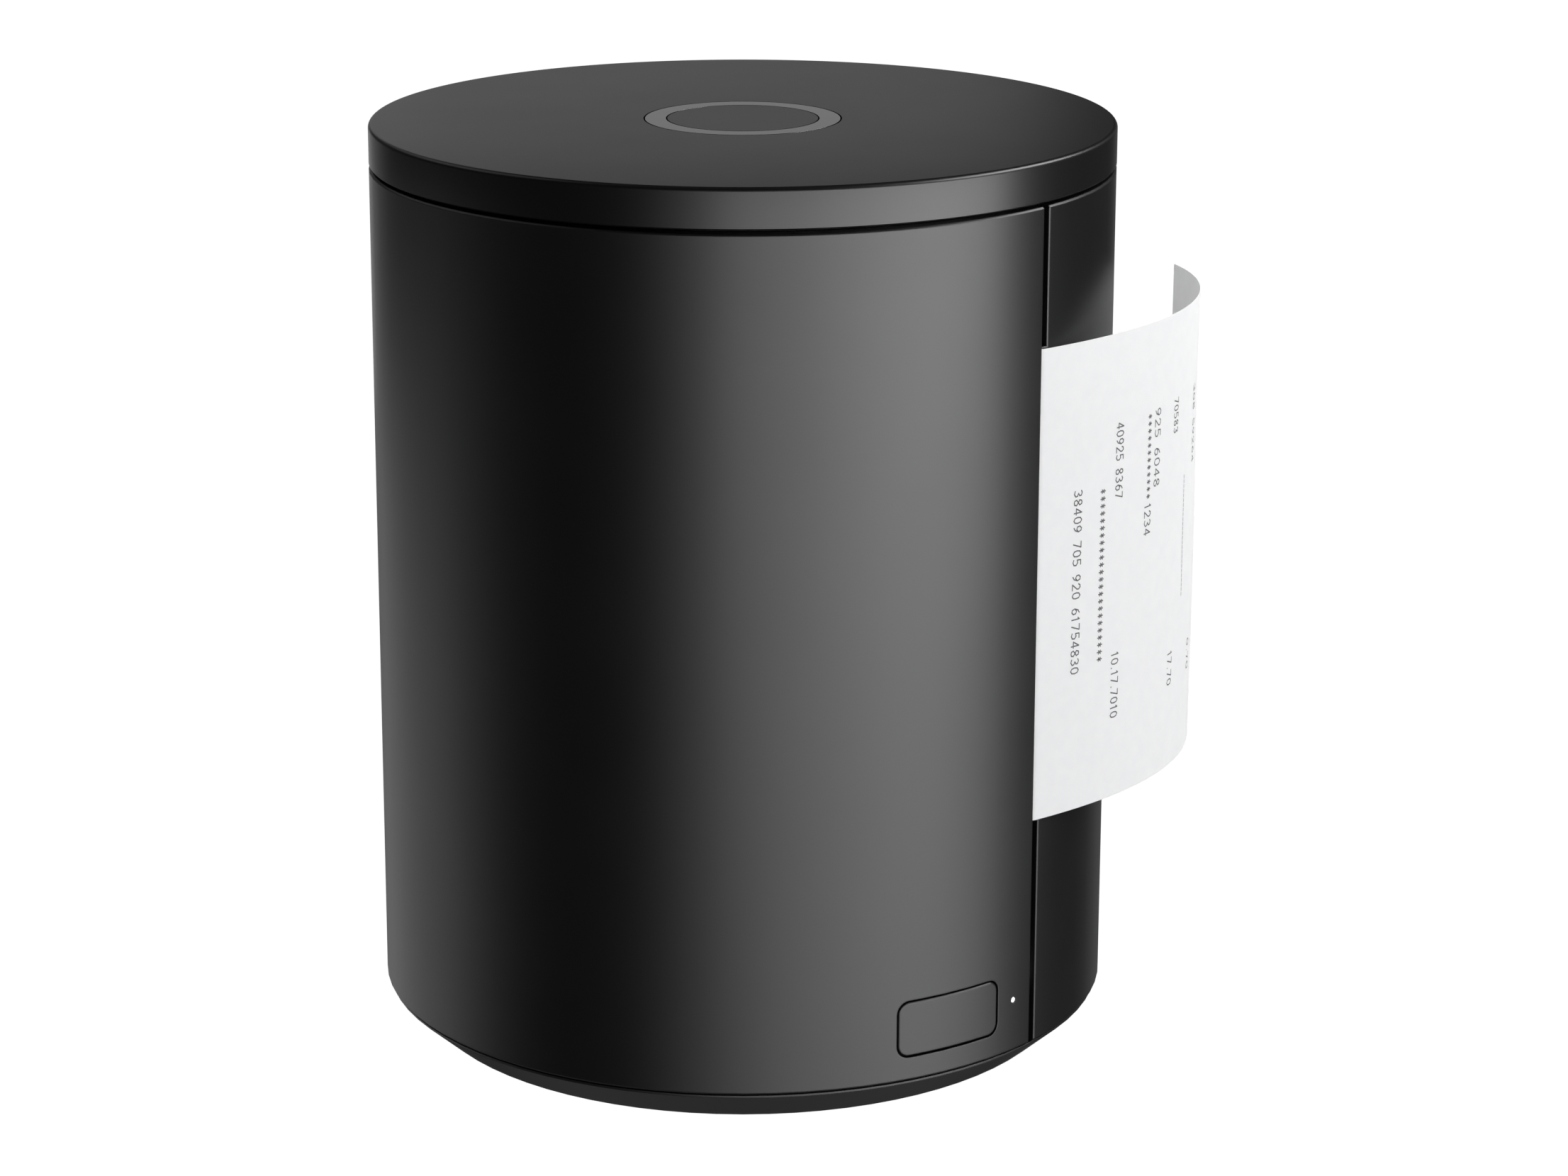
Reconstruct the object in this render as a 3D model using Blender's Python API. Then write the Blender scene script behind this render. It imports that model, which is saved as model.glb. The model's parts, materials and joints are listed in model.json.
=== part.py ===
"""Round counter-top receipt printer with a curled printed slip leaving its side slot."""
import math
from math import cos, degrees, radians, sin

import bmesh
import bpy
from mathutils import Matrix, Vector

MM = 0.001

# Outer case, millimetres
CASE_R = 62.5
WALL = 2.2
INNER_R = CASE_R - WALL
BODY_Z0 = 6.8
BODY_Z1 = 149.0
LID_Z0 = 149.6
LID_Z1 = 156.3
RIM_ROUND = 0.7
EDGE_CUT = 0.3
ARC_STEP = 4.5
ROUND = 80

# Seam and door, degrees around the vertical axis
SHELL_SLOT_EDGE = -40.1
DOOR_SLOT_EDGE = -38.70
SHELL_HINGE_EDGE = 112.2
DOOR_HINGE_EDGE = 104.9
HINGE_ANGLE = 108.0
HINGE_RADIUS = 59.4
SEAM_BEVEL = 0.3
SEAM_BEVEL_TILT = 20.0
KNUCKLE_R = 2.8
PIN_R = 1.2
PIN_HOLE_R = 1.28
DOOR_KNUCKLES = ((11.6, 38.0), (62.0, 94.0), (118.0, 143.6))
SHELL_KNUCKLES = ((38.4, 61.6), (94.4, 117.6))

# Paper slot and slip
SLOT_DIR = 21.0
SLOT_POINT = (48.33, -39.66)
SLOT_Z0 = 45.8
SLOT_Z1 = 126.1
PAPER_Z0 = 46.1
PAPER_Z1 = 125.8
PAPER_T = 0.14
SLIP_LENGTH = 77.4
SLIP_START_DIR = 37.4
SLIP_BEND = 0.00823
SLIP_BEND_GROWTH = 0.0002148
CUT_INNER = 9.4
CUT_OUTER = 8.2

# Paper bay
DECK_Z0 = 31.5
DECK_Z1 = 34.0
CEILING_Z0 = 138.5
CEILING_Z1 = 141.0
PLATE_R = 59.9
HINGE_NOTCH_R = 5.4
ROLL_R = 39.0
CORE_R = 8.5
CORE_HOLE_R = 6.3
PLATEN_R = 5.0
PLATEN_BACK = 17.0
NIP_ANGLE = -108.0
ROLL_BACK = 52.0
PATH_R = 5.2
SHAFT_R = 2.5
ARM_END_R = 5.2
LOWER_ARM = (42.3, 45.3)
UPPER_ARM = (133.0, 136.0)

# Gears
FEED_MODULE = 0.7
SMALL_TEETH = 13
DRIVE_TEETH = 26
DRIVE_FROM_PLATEN = 190.0
PINION_FROM_DRIVE = 140.0
GEAR_Z0 = 36.0
GEAR_Z1 = 40.0
RACK_TEETH = 12
RACK_Z0 = 128.0
RACK_Z1 = 131.0
PRESSURE = radians(20.0)
ADDENDUM = 0.72
DEDENDUM = 1.2
BACKLASH = 0.2

# Button and light
BUTTON_ANGLE = -56.85
BUTTON_Z = 15.75
BUTTON_WIDE = 20.47
BUTTON_HIGH = 9.95
BUTTON_CORNER = 2.2
BUTTON_GAP = 0.3
LIGHT_ANGLE = -43.99
LIGHT_Z = 15.8
LIGHT_R = 0.46
LIGHT_HOLE_R = 0.56

# Rear connector bay
PORT_ANGLE = 150.0
PORT_FACE = 50.5
PORT_WIDE = 50.0
PORT_Z0 = 12.2
PORT_Z1 = 28.0
SOCKET_Z = 12.5

LEG_ANGLES = (25.0, 95.0, 205.0, 252.0)
LEG_RING = 48.0
MAGNET_ANGLE = 10.0
POST_SPOTS = ((150.0, 55.0), (205.0, 54.0), (258.0, 55.0))


def make_material(name, colour, rough, metal=0.0):
    mat = bpy.data.materials.new(name)
    mat.use_nodes = True
    shader = mat.node_tree.nodes["Principled BSDF"]
    shader.inputs["Base Color"].default_value = (*colour, 1.0)
    shader.inputs["Roughness"].default_value = rough
    shader.inputs["Metallic"].default_value = metal
    mat.diffuse_color = (*colour, 1.0)
    mat.roughness = rough
    mat.metallic = metal
    return mat


LOOKS = {
    "case_black": ((0.012, 0.012, 0.013), 0.42, 0.0),
    "polished_dark": ((0.22, 0.22, 0.23), 0.12, 1.0),
    "paper_white": ((0.86, 0.86, 0.85), 0.75, 0.0),
    "light_white": ((0.85, 0.87, 0.9), 0.3, 0.0),
    "rubber_black": ((0.02, 0.02, 0.02), 0.8, 0.0),
    "steel": ((0.55, 0.55, 0.56), 0.35, 1.0),
    "plated_steel": ((0.68, 0.68, 0.7), 0.25, 1.0),
    "aluminium": ((0.75, 0.76, 0.78), 0.4, 1.0),
    "board_green": ((0.01, 0.13, 0.05), 0.5, 0.0),
    "gear_white": ((0.72, 0.72, 0.68), 0.5, 0.0),
    "chassis_grey": ((0.07, 0.07, 0.075), 0.55, 0.0),
    "card": ((0.45, 0.33, 0.2), 0.85, 0.0),
    "brass": ((0.7, 0.52, 0.2), 0.35, 1.0),
    "ceramic_white": ((0.78, 0.76, 0.7), 0.35, 0.0),
    "socket_black": ((0.02, 0.02, 0.022), 0.5, 0.0),
}


def clear_scene():
    for obj in list(bpy.data.objects):
        bpy.data.objects.remove(obj)


def new_object(name, bm, look, location=(0.0, 0.0, 0.0), turn=0.0, smooth=True):
    """Turn a bmesh given in millimetres into a named object in metres."""
    bmesh.ops.scale(bm, vec=Vector((MM, MM, MM)), verts=bm.verts)
    bmesh.ops.recalc_face_normals(bm, faces=bm.faces)
    mesh = bpy.data.meshes.new(name)
    bm.to_mesh(mesh)
    bm.free()
    obj = bpy.data.objects.new(name, mesh)
    bpy.context.scene.collection.objects.link(obj)
    obj.location = Vector(location) * MM
    obj.rotation_euler = (0.0, 0.0, radians(turn))
    if look:
        mesh.materials.append(bpy.data.materials[look])
    if smooth:
        mesh.shade_smooth()
        mesh.set_sharp_from_angle(angle=radians(32.0))
    return obj


def arc(radius, start, end, step=ARC_STEP, centre=(0.0, 0.0)):
    count = max(1, round(abs(end - start) / step))
    spots = []
    for i in range(count + 1):
        a = radians(start + (end - start) * i / count)
        spots.append((centre[0] + radius * cos(a), centre[1] + radius * sin(a)))
    return spots


def circle(radius, centre=(0.0, 0.0), count=32):
    return arc(radius, 0.0, 360.0 - 360.0 / count, 360.0 / count, centre)


def prism(outline, z0, z1):
    bm = bmesh.new()
    low = [bm.verts.new((x, y, z0)) for x, y in outline]
    high = [bm.verts.new((x, y, z1)) for x, y in outline]
    bm.faces.new(low[::-1])
    bm.faces.new(high)
    count = len(outline)
    for i in range(count):
        j = (i + 1) % count
        bm.faces.new((low[i], low[j], high[j], high[i]))
    return bm


def lathe(profile, count=48):
    """Revolve a closed (radius, height) profile; a radius of zero becomes one shared point."""
    bm = bmesh.new()
    rings = []
    for r, z in profile:
        if r == 0.0:
            rings.append([bm.verts.new((0.0, 0.0, z))])
        else:
            ring = [bm.verts.new((x, y, z)) for x, y in circle(r, count=count)]
            rings.append(ring)
    for k in range(len(rings)):
        a, b = rings[k], rings[(k + 1) % len(rings)]
        if len(a) == 1 and len(b) == 1:
            continue
        for i in range(count):
            j = (i + 1) % count
            if len(a) == 1:
                bm.faces.new((a[0], b[j], b[i]))
            elif len(b) == 1:
                bm.faces.new((a[i], a[j], b[0]))
            else:
                bm.faces.new((a[i], a[j], b[j], b[i]))
    return bm


def curved_wall(start, end, z0, z1, inner=INNER_R, outer=CASE_R, cut=EDGE_CUT):
    """A piece of the round wall with a small bevel on its outer top and bottom edges."""
    section = [(inner, z0), (outer - cut, z0), (outer, z0 + cut)]
    section += [(outer, z1 - cut), (outer - cut, z1), (inner, z1)]
    if cut == 0.0:
        section = [(inner, z0), (outer, z0), (outer, z1), (inner, z1)]
    bm = bmesh.new()
    count = max(1, round(abs(end - start) / ARC_STEP))
    rows = []
    for i in range(count + 1):
        a = radians(start + (end - start) * i / count)
        rows.append([bm.verts.new((r * cos(a), r * sin(a), z)) for r, z in section])
    for i in range(count):
        for k in range(len(section)):
            n = (k + 1) % len(section)
            bm.faces.new((rows[i][k], rows[i + 1][k], rows[i + 1][n], rows[i][n]))
    bm.faces.new(rows[0])
    bm.faces.new(rows[-1][::-1])
    return bm


def combine(obj, bm, operation, location=(0.0, 0.0, 0.0), turn=0.0):
    """Join a helper solid to an object or cut it away, then drop the helper."""
    helper = new_object("helper", bm, None, location, turn, smooth=False)
    bpy.context.view_layer.update()
    mod = obj.modifiers.new("join", "BOOLEAN")
    mod.operation = operation
    mod.solver = "EXACT"
    mod.object = helper
    graph = bpy.context.evaluated_depsgraph_get()
    mesh = bpy.data.meshes.new_from_object(obj.evaluated_get(graph))
    obj.modifiers.remove(mod)
    old = obj.data
    obj.data = mesh
    mesh.name = old.name
    bpy.data.meshes.remove(old)
    bpy.data.objects.remove(helper)
    mesh.shade_smooth()
    mesh.set_sharp_from_angle(angle=radians(32.0))


def box(x0, x1, y0, y1, z0, z1):
    return prism([(x0, y0), (x1, y0), (x1, y1), (x0, y1)], z0, z1)


def rod(radius, z0, z1, centre=(0.0, 0.0), count=32):
    return prism(circle(radius, centre, count), z0, z1)


def rounded_box_outline(wide, high, corner):
    spots = []
    for k, (sx, sy) in enumerate(((1, 1), (-1, 1), (-1, -1), (1, -1))):
        centre = (sx * (wide / 2 - corner), sy * (high / 2 - corner))
        spots += arc(corner, 90.0 * k, 90.0 * (k + 1), 15.0, centre)
    return spots


def along(angle, distance):
    return (distance * cos(radians(angle)), distance * sin(radians(angle)))


def radial_prism(outline, angle, height, r0, r1):
    """A prism whose outline is (sideways, up) and which runs outwards along a radius."""
    bm = prism(outline, r0, r1)
    out = Vector((cos(radians(angle)), sin(radians(angle)), 0.0))
    up = Vector((0.0, 0.0, 1.0))
    side = up.cross(out)
    frame = Matrix((side, up, out)).transposed().to_4x4()
    bmesh.ops.transform(bm, matrix=frame, verts=bm.verts)
    bmesh.ops.translate(bm, vec=(0.0, 0.0, height), verts=bm.verts)
    return bm


def involute(angle):
    return math.tan(angle) - angle


def gear_outline(teeth, module, phase, backlash=BACKLASH):
    """Outline of a spur gear with one tooth centred on the phase angle."""
    pitch = module * teeth / 2
    base = pitch * cos(PRESSURE)
    root = pitch - DEDENDUM * module
    tip = pitch + ADDENDUM * module
    half = math.pi / (2 * teeth) - backlash / (2 * pitch)

    def half_angle(r):
        if r <= base:
            return half + involute(PRESSURE)
        return half + involute(PRESSURE) - involute(math.acos(base / r))

    radii = [root, max(base, root + 0.05), pitch, tip]
    spots = []
    for k in range(teeth):
        middle = radians(phase) + 2 * math.pi * k / teeth
        for r in radii:
            a = middle - half_angle(r)
            spots.append((r * cos(a), r * sin(a)))
        for r in reversed(radii):
            a = middle + half_angle(r)
            spots.append((r * cos(a), r * sin(a)))
    return spots


def slot_spot(back, side):
    """Plan position measured inwards from the slot mouth and sideways towards the roll."""
    c, s = cos(radians(SLOT_DIR)), sin(radians(SLOT_DIR))
    return (SLOT_POINT[0] - back * c - side * s, SLOT_POINT[1] - back * s + side * c)


def slot_frame_prism(corners, z0, z1):
    return prism([slot_spot(b, n) for b, n in corners], z0, z1)


PLATEN_AT = slot_spot(PLATEN_BACK, PATH_R)
NIP_AT = (PLATEN_AT[0] + along(NIP_ANGLE, PATH_R)[0], PLATEN_AT[1] + along(NIP_ANGLE, PATH_R)[1])
NIP_DIR = NIP_ANGLE + 90.0


def nip_spot(forward, outward):
    """Plan position measured along the paper from the nip and outwards from the platen."""
    c, s = cos(radians(NIP_DIR)), sin(radians(NIP_DIR))
    return (NIP_AT[0] + forward * c + outward * s, NIP_AT[1] + forward * s - outward * c)


def nip_prism(corners, z0, z1):
    return prism([nip_spot(f, o) for f, o in corners], z0, z1)


ROLL_AT = nip_spot(-ROLL_BACK, -(ROLL_R + 0.3))
HINGE_AT = along(HINGE_ANGLE, HINGE_RADIUS)
PITCH_SMALL = FEED_MODULE * SMALL_TEETH / 2
PITCH_DRIVE = FEED_MODULE * DRIVE_TEETH / 2


def offset_from(spot, angle, distance):
    step = along(angle, distance)
    return (spot[0] + step[0], spot[1] + step[1])


DRIVE_AT = offset_from(PLATEN_AT, DRIVE_FROM_PLATEN, PITCH_SMALL + PITCH_DRIVE)
MOTOR_AT = offset_from(DRIVE_AT, PINION_FROM_DRIVE, PITCH_SMALL + PITCH_DRIVE)
CUTTER_AXIS = (2.5, 12.0)
CUTTER_AT = slot_spot(*CUTTER_AXIS)


def strip(path, thickness):
    """Closed outline of a thin band that follows a plan path."""
    left, right = [], []
    for i, (x, y) in enumerate(path):
        x0, y0 = path[max(i - 1, 0)]
        x1, y1 = path[min(i + 1, len(path) - 1)]
        size = math.hypot(x1 - x0, y1 - y0)
        nx, ny = -(y1 - y0) / size, (x1 - x0) / size
        left.append((x + nx * thickness / 2, y + ny * thickness / 2))
        right.append((x - nx * thickness / 2, y - ny * thickness / 2))
    return left + right[::-1]


def slip_path():
    """Straight through the slot, then an ever tighter curl to the left."""
    path = [slot_spot(CUT_OUTER, 0.0), slot_spot(4.0, 0.0), slot_spot(0.6, 0.0)]
    x, y = SLOT_POINT
    steps = 32
    piece = SLIP_LENGTH / steps
    for i in range(steps + 1):
        if i:
            s = (i - 0.5) * piece
            a = radians(SLIP_START_DIR) + SLIP_BEND * s + SLIP_BEND_GROWTH * s * s / 2
            x += piece * cos(a)
            y += piece * sin(a)
        path.append((x, y))
    return path


def web_path():
    """From the roll, round the platen and on to the cut line."""
    path = [nip_spot(-ROLL_BACK, 0.0), nip_spot(-ROLL_BACK / 2, 0.0)]
    path += arc(PATH_R, NIP_ANGLE, SLOT_DIR - 90.0, 6.0, PLATEN_AT)
    path.append(slot_spot(CUT_INNER, 0.0))
    return path


def build_case():
    base = [(0.0, 1.3), (53.4, 1.3), (53.4, 0.5), (55.6, 0.5), (62.0, 6.1), (62.0, 6.5)]
    base += [(60.0, 6.5), (60.0, 10.0), (57.8, 10.0), (57.8, 4.3), (0.0, 4.3)]
    tray = new_object("base_tray", lathe(base, ROUND), "case_black")
    for i, angle in enumerate(LEG_ANGLES):
        spot = along(angle, LEG_RING)
        combine(tray, rod(3.1, 0.8, 3.0, spot, 20), "DIFFERENCE")
        combine(tray, rod(1.6, 2.0, 5.0, spot, 16), "DIFFERENCE")
        screw = lathe([(0.0, 1.5), (2.8, 1.5), (2.8, 2.7), (1.25, 2.7), (1.25, 12.0), (0.0, 12.0)], 14)
        new_object(f"base_screw_{i + 1}", screw, "steel", (*spot, 0.0))
    pad = [(0.0, 0.0), (52.6, 0.0), (53.0, 0.4), (53.0, 1.0), (0.0, 1.0)]
    new_object("foot_pad", lathe(pad, 48), "rubber_black")


def build_shell():
    wall = curved_wall(SHELL_HINGE_EDGE, 360.0 + SHELL_SLOT_EDGE, BODY_Z0, BODY_Z1)
    shell = new_object("main_shell", wall, "case_black")
    # slanted inner face along the paper's way out
    tip = along(SHELL_SLOT_EDGE, CASE_R - 0.12)
    c, s = cos(radians(SLOT_DIR)), sin(radians(SLOT_DIR))
    near = (tip[0] + 2.0 * c, tip[1] + 2.0 * s)
    far = (tip[0] - 7.0 * c, tip[1] - 7.0 * s)
    wedge = [near, (near[0] - 6.0 * s, near[1] + 6.0 * c), (far[0] - 6.0 * s, far[1] + 6.0 * c), far]
    combine(shell, prism(wedge, LOWER_ARM[0] - 0.5, UPPER_ARM[1] + 0.5), "DIFFERENCE")
    hole = rounded_box_outline(BUTTON_WIDE, BUTTON_HIGH, BUTTON_CORNER)
    combine(shell, radial_prism(hole, BUTTON_ANGLE, BUTTON_Z, 56.0, 68.0), "DIFFERENCE")
    light_hole = radial_prism(circle(LIGHT_HOLE_R, count=16), LIGHT_ANGLE, LIGHT_Z, 56.0, 68.0)
    combine(shell, light_hole, "DIFFERENCE")
    # thin frame around the connector bay, reaching in to the panel
    middle = (PORT_Z0 + PORT_Z1) / 2
    block = rounded_box_outline(PORT_WIDE + 3.0, PORT_Z1 - PORT_Z0 + 3.0, 3.0)
    frame = new_object("frame", radial_prism(block, PORT_ANGLE, middle, PORT_FACE + 0.3, 63.0), None)
    combine(frame, rod(61.4, 0.0, 40.0, count=37), "INTERSECT")
    add_object(shell, frame, "UNION")
    mouth = rounded_box_outline(PORT_WIDE, PORT_Z1 - PORT_Z0, 2.0)
    combine(shell, radial_prism(mouth, PORT_ANGLE, middle, 40.0, 70.0), "DIFFERENCE")
    add_knuckles(shell, SHELL_KNUCKLES, SHELL_HINGE_EDGE + 1.2, -1.0)


def add_object(obj, other, operation):
    bm = bmesh.new()
    bm.from_mesh(other.data)
    bmesh.ops.scale(bm, vec=Vector((1 / MM, 1 / MM, 1 / MM)), verts=bm.verts)
    combine(obj, bm, operation)
    bpy.data.objects.remove(other)


def add_knuckles(obj, spans, wall_angle, sense):
    for z0, z1 in spans:
        leaf = arc(59.8, wall_angle, HINGE_ANGLE - sense * 0.9, 1.2)
        leaf += arc(61.8, HINGE_ANGLE - sense * 0.9, wall_angle, 1.2)
        combine(obj, prism(leaf, z0, z1), "UNION")
        combine(obj, rod(KNUCKLE_R, z0, z1, HINGE_AT, 24), "UNION")
        combine(obj, rod(PIN_HOLE_R, z0 - 1.0, z1 + 1.0, HINGE_AT, 20), "DIFFERENCE")


def build_door():
    door = new_object("paper_door", curved_wall(-43.6, DOOR_HINGE_EDGE, BODY_Z0, BODY_Z1), "case_black")
    # straight seam below and above the paper, slanted lip along it
    edge = [along(DOOR_SLOT_EDGE, 50.0), along(DOOR_SLOT_EDGE, 70.0), along(-52.0, 70.0), along(-52.0, 50.0)]
    combine(door, prism(edge, 0.0, SLOT_Z0), "DIFFERENCE")
    combine(door, prism(edge, SLOT_Z1, 160.0), "DIFFERENCE")
    tip = along(DOOR_SLOT_EDGE, CASE_R)
    c, s = cos(radians(SLOT_DIR)), sin(radians(SLOT_DIR))
    near = (tip[0] + 3.0 * c, tip[1] + 3.0 * s)
    far = (tip[0] - 9.0 * c, tip[1] - 9.0 * s)
    wedge = [near, far, (far[0] + 9.0 * s, far[1] - 9.0 * c), (near[0] + 9.0 * s, near[1] - 9.0 * c)]
    combine(door, prism(wedge, SLOT_Z0 - 1.0, SLOT_Z1 + 1.0), "DIFFERENCE")
    bevel_at = along(DOOR_SLOT_EDGE + degrees(SEAM_BEVEL / CASE_R), CASE_R)
    bevel_dir = DOOR_SLOT_EDGE - 90.0 - SEAM_BEVEL_TILT
    start = offset_from(bevel_at, bevel_dir, -3.0)
    end = offset_from(bevel_at, bevel_dir, 2.2)
    outside = [offset_from(spot, DOOR_SLOT_EDGE, 3.0) for spot in (end, start)]
    combine(door, prism([start, end, *outside], 0.0, 160.0), "DIFFERENCE")
    add_knuckles(door, DOOR_KNUCKLES, DOOR_HINGE_EDGE - 1.2, 1.0)
    for z0, z1 in (LOWER_ARM, UPPER_ARM):
        arm = arc(ARM_END_R, 75.0, 285.0, 15.0, PLATEN_AT)
        arm += [slot_spot(8.0, 0.6)]
        arm += arc(61.0, -36.5, 0.0, 4.0)
        combine(door, prism(arm, z0, z1), "UNION")
        combine(door, rod(4.35, z0 - 1.0, z1 + 1.0, PLATEN_AT, 20), "DIFFERENCE")


def build_magnet():
    spot = along(MAGNET_ANGLE, 58.85)
    new_object("door_magnet", prism(rounded_box_outline(2.4, 10.0, 0.5), 141.4, 144.2), "plated_steel",
               (*spot, 0.0), MAGNET_ANGLE)


def build_lid():
    profile = [(0.0, LID_Z1), (12.6, LID_Z1), (12.6, LID_Z1 - 0.9), (16.6, LID_Z1 - 0.9), (16.6, LID_Z1)]
    r, z = CASE_R - RIM_ROUND, LID_Z1 - RIM_ROUND
    for k in range(4):
        a = radians(90.0 - 30.0 * k)
        profile.append((r + RIM_ROUND * cos(a), z + RIM_ROUND * sin(a)))
    profile += [(CASE_R, LID_Z0 + 0.25), (CASE_R - 0.25, LID_Z0), (59.9, LID_Z0), (59.9, 144.5)]
    profile += [(57.9, 144.5), (57.9, LID_Z1 - 3.0), (0.0, LID_Z1 - 3.0)]
    new_object("top_lid", lathe(profile, ROUND), "case_black")
    low, high = LID_Z1 - 0.6, LID_Z1
    ring = [(12.85, low), (16.35, low), (16.35, high), (12.85, high)]
    new_object("lid_inlay_ring", lathe(ring, 56), "polished_dark")


def build_button():
    panel = curved_wall(-68.0, -46.0, 8.0, 24.0, 60.4, CASE_R, 0.0)
    button = new_object("feed_button", panel, "case_black")
    shape = rounded_box_outline(BUTTON_WIDE - 2 * BUTTON_GAP, BUTTON_HIGH - 2 * BUTTON_GAP,
                                BUTTON_CORNER - BUTTON_GAP)
    combine(button, radial_prism(shape, BUTTON_ANGLE, BUTTON_Z, 50.0, 70.0), "INTERSECT")
    core = radial_prism(rounded_box_outline(17.0, 7.6, 1.5), BUTTON_ANGLE, BUTTON_Z, 58.2, 61.0)
    combine(button, core, "UNION")
    flange = radial_prism(rounded_box_outline(21.8, 11.4, 2.0), BUTTON_ANGLE, BUTTON_Z, 56.9, 58.3)
    combine(button, flange, "UNION")
    stem = radial_prism(circle(2.0, count=20), BUTTON_ANGLE, BUTTON_Z, 55.9, 57.2)
    combine(button, stem, "UNION")
    plunger = radial_prism(circle(1.7, count=20), BUTTON_ANGLE, BUTTON_Z, 53.3, 55.6)
    new_object("switch_plunger", plunger, "socket_black")
    body = new_object("feed_switch", radial_prism(rounded_box_outline(6.0, 6.0, 0.4), BUTTON_ANGLE,
                                                  BUTTON_Z, 50.8, 54.3), "socket_black")
    combine(body, radial_prism(circle(1.9, count=20), BUTTON_ANGLE, BUTTON_Z, 52.2, 56.0), "DIFFERENCE")
    board = rounded_box_outline(28.0, 15.0, 0.8)
    board = [(x + 8.5, y) for x, y in board]
    new_object("control_board", radial_prism(board, BUTTON_ANGLE, BUTTON_Z + 1.6, 49.0, 50.5), "board_green")
    chip = [(x + 11.3, y) for x, y in rounded_box_outline(3.0, 2.4, 0.3)]
    new_object("status_led", radial_prism(chip, BUTTON_ANGLE, LIGHT_Z, 50.8, 52.2), "light_white")
    pipe = new_object("status_light_pipe", radial_prism(circle(LIGHT_R, count=16), LIGHT_ANGLE, LIGHT_Z,
                                                        58.0, 62.4), "light_white")
    combine(pipe, radial_prism(circle(1.3, count=16), LIGHT_ANGLE, LIGHT_Z, 54.4, 59.6), "UNION")


def build_chassis():
    deck = new_object("chassis_deck", prism(circle(PLATE_R, count=ROUND), DECK_Z0, DECK_Z1), "chassis_grey")
    ceiling = new_object("bay_ceiling", prism(circle(PLATE_R, count=ROUND), CEILING_Z0, CEILING_Z1),
                         "chassis_grey")
    for plate, z in ((deck, DECK_Z0), (ceiling, CEILING_Z0)):
        combine(plate, rod(HINGE_NOTCH_R, z - 2.0, z + 5.0, HINGE_AT, 32), "DIFFERENCE")
    for i, angle in enumerate(LEG_ANGLES):
        spot = along(angle, LEG_RING)
        combine(deck, rod(4.0, 4.6, DECK_Z0 + 1.0, spot, 24), "UNION")
        combine(deck, rod(1.5, 4.0, 14.0, spot, 16), "DIFFERENCE")
    combine(deck, rod(5.3, DECK_Z0 - 2.0, DECK_Z1 + 2.0, MOTOR_AT, 28), "DIFFERENCE")
    for i, (angle, ring) in enumerate(POST_SPOTS):
        spot = along(angle, ring)
        post = new_object(f"frame_post_{i + 1}", rod(3.2, DECK_Z1 + 0.25, CEILING_Z0 - 0.25, count=24),
                          "plated_steel", (*spot, 0.0))
        combine(post, rod(1.5, CEILING_Z0 - 12.0, CEILING_Z0 + 1.0, spot, 16), "DIFFERENCE")
        combine(ceiling, rod(1.6, CEILING_Z0 - 1.0, CEILING_Z1 + 1.0, spot, 16), "DIFFERENCE")
        top = CEILING_Z1 + 0.25
        screw = [(0.0, top + 1.6), (2.9, top + 1.6), (2.9, top)]
        screw += [(1.25, top), (1.25, top - 11.0), (0.0, top - 11.0)]
        new_object(f"ceiling_screw_{i + 1}", lathe(screw, 14), "steel", (*spot, 0.0))
    pin = [(0.0, 10.3), (2.4, 10.3), (2.4, 11.3), (PIN_R, 11.3), (PIN_R, 144.1), (0.0, 144.1)]
    new_object("hinge_pin", lathe(pin, 20), "steel", (*HINGE_AT, 0.0))
    spot = along(MAGNET_ANGLE, 55.6)
    new_object("door_strike", prism(rounded_box_outline(3.2, 12.0, 0.5), 141.3, 144.1), "steel",
               (*spot, 0.0), MAGNET_ANGLE)


def build_roll():
    x, y = ROLL_AT
    post = [(0.0, DECK_Z1 + 0.25), (9.0, DECK_Z1 + 0.25), (9.0, 37.0), (3.2, 37.0), (3.2, 57.0), (0.0, 57.0)]
    new_object("spindle_post", lathe(post, 24), "plated_steel", (x, y, 0.0))
    disc = [(3.28, 42.6), (30.0, 42.6), (30.0, 45.4), (29.6, 45.8), (5.9, 45.8), (5.9, 59.0), (4.9, 60.0),
            (0.0, 60.0), (0.0, 57.3), (3.28, 57.3)]
    new_object("roll_turntable", lathe(disc, 32), "gear_white", (x, y, 0.0))
    tube = [(CORE_HOLE_R, PAPER_Z0), (CORE_R - 0.02, PAPER_Z0)]
    tube += [(CORE_R - 0.02, PAPER_Z1), (CORE_HOLE_R, PAPER_Z1)]
    new_object("roll_core", lathe(tube, 28), "card", (x, y, 0.0))
    wound = [(CORE_R, PAPER_Z0), (ROLL_R, PAPER_Z0), (ROLL_R, PAPER_Z1), (CORE_R, PAPER_Z1)]
    new_object("paper_roll", lathe(wound, 48), "paper_white", (x, y, 0.0))
    new_object("paper_web", prism(strip(web_path(), PAPER_T), PAPER_Z0, PAPER_Z1), "paper_white")
    new_object("receipt", prism(strip(slip_path(), PAPER_T), PAPER_Z0, PAPER_Z1), "paper_white")


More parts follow.
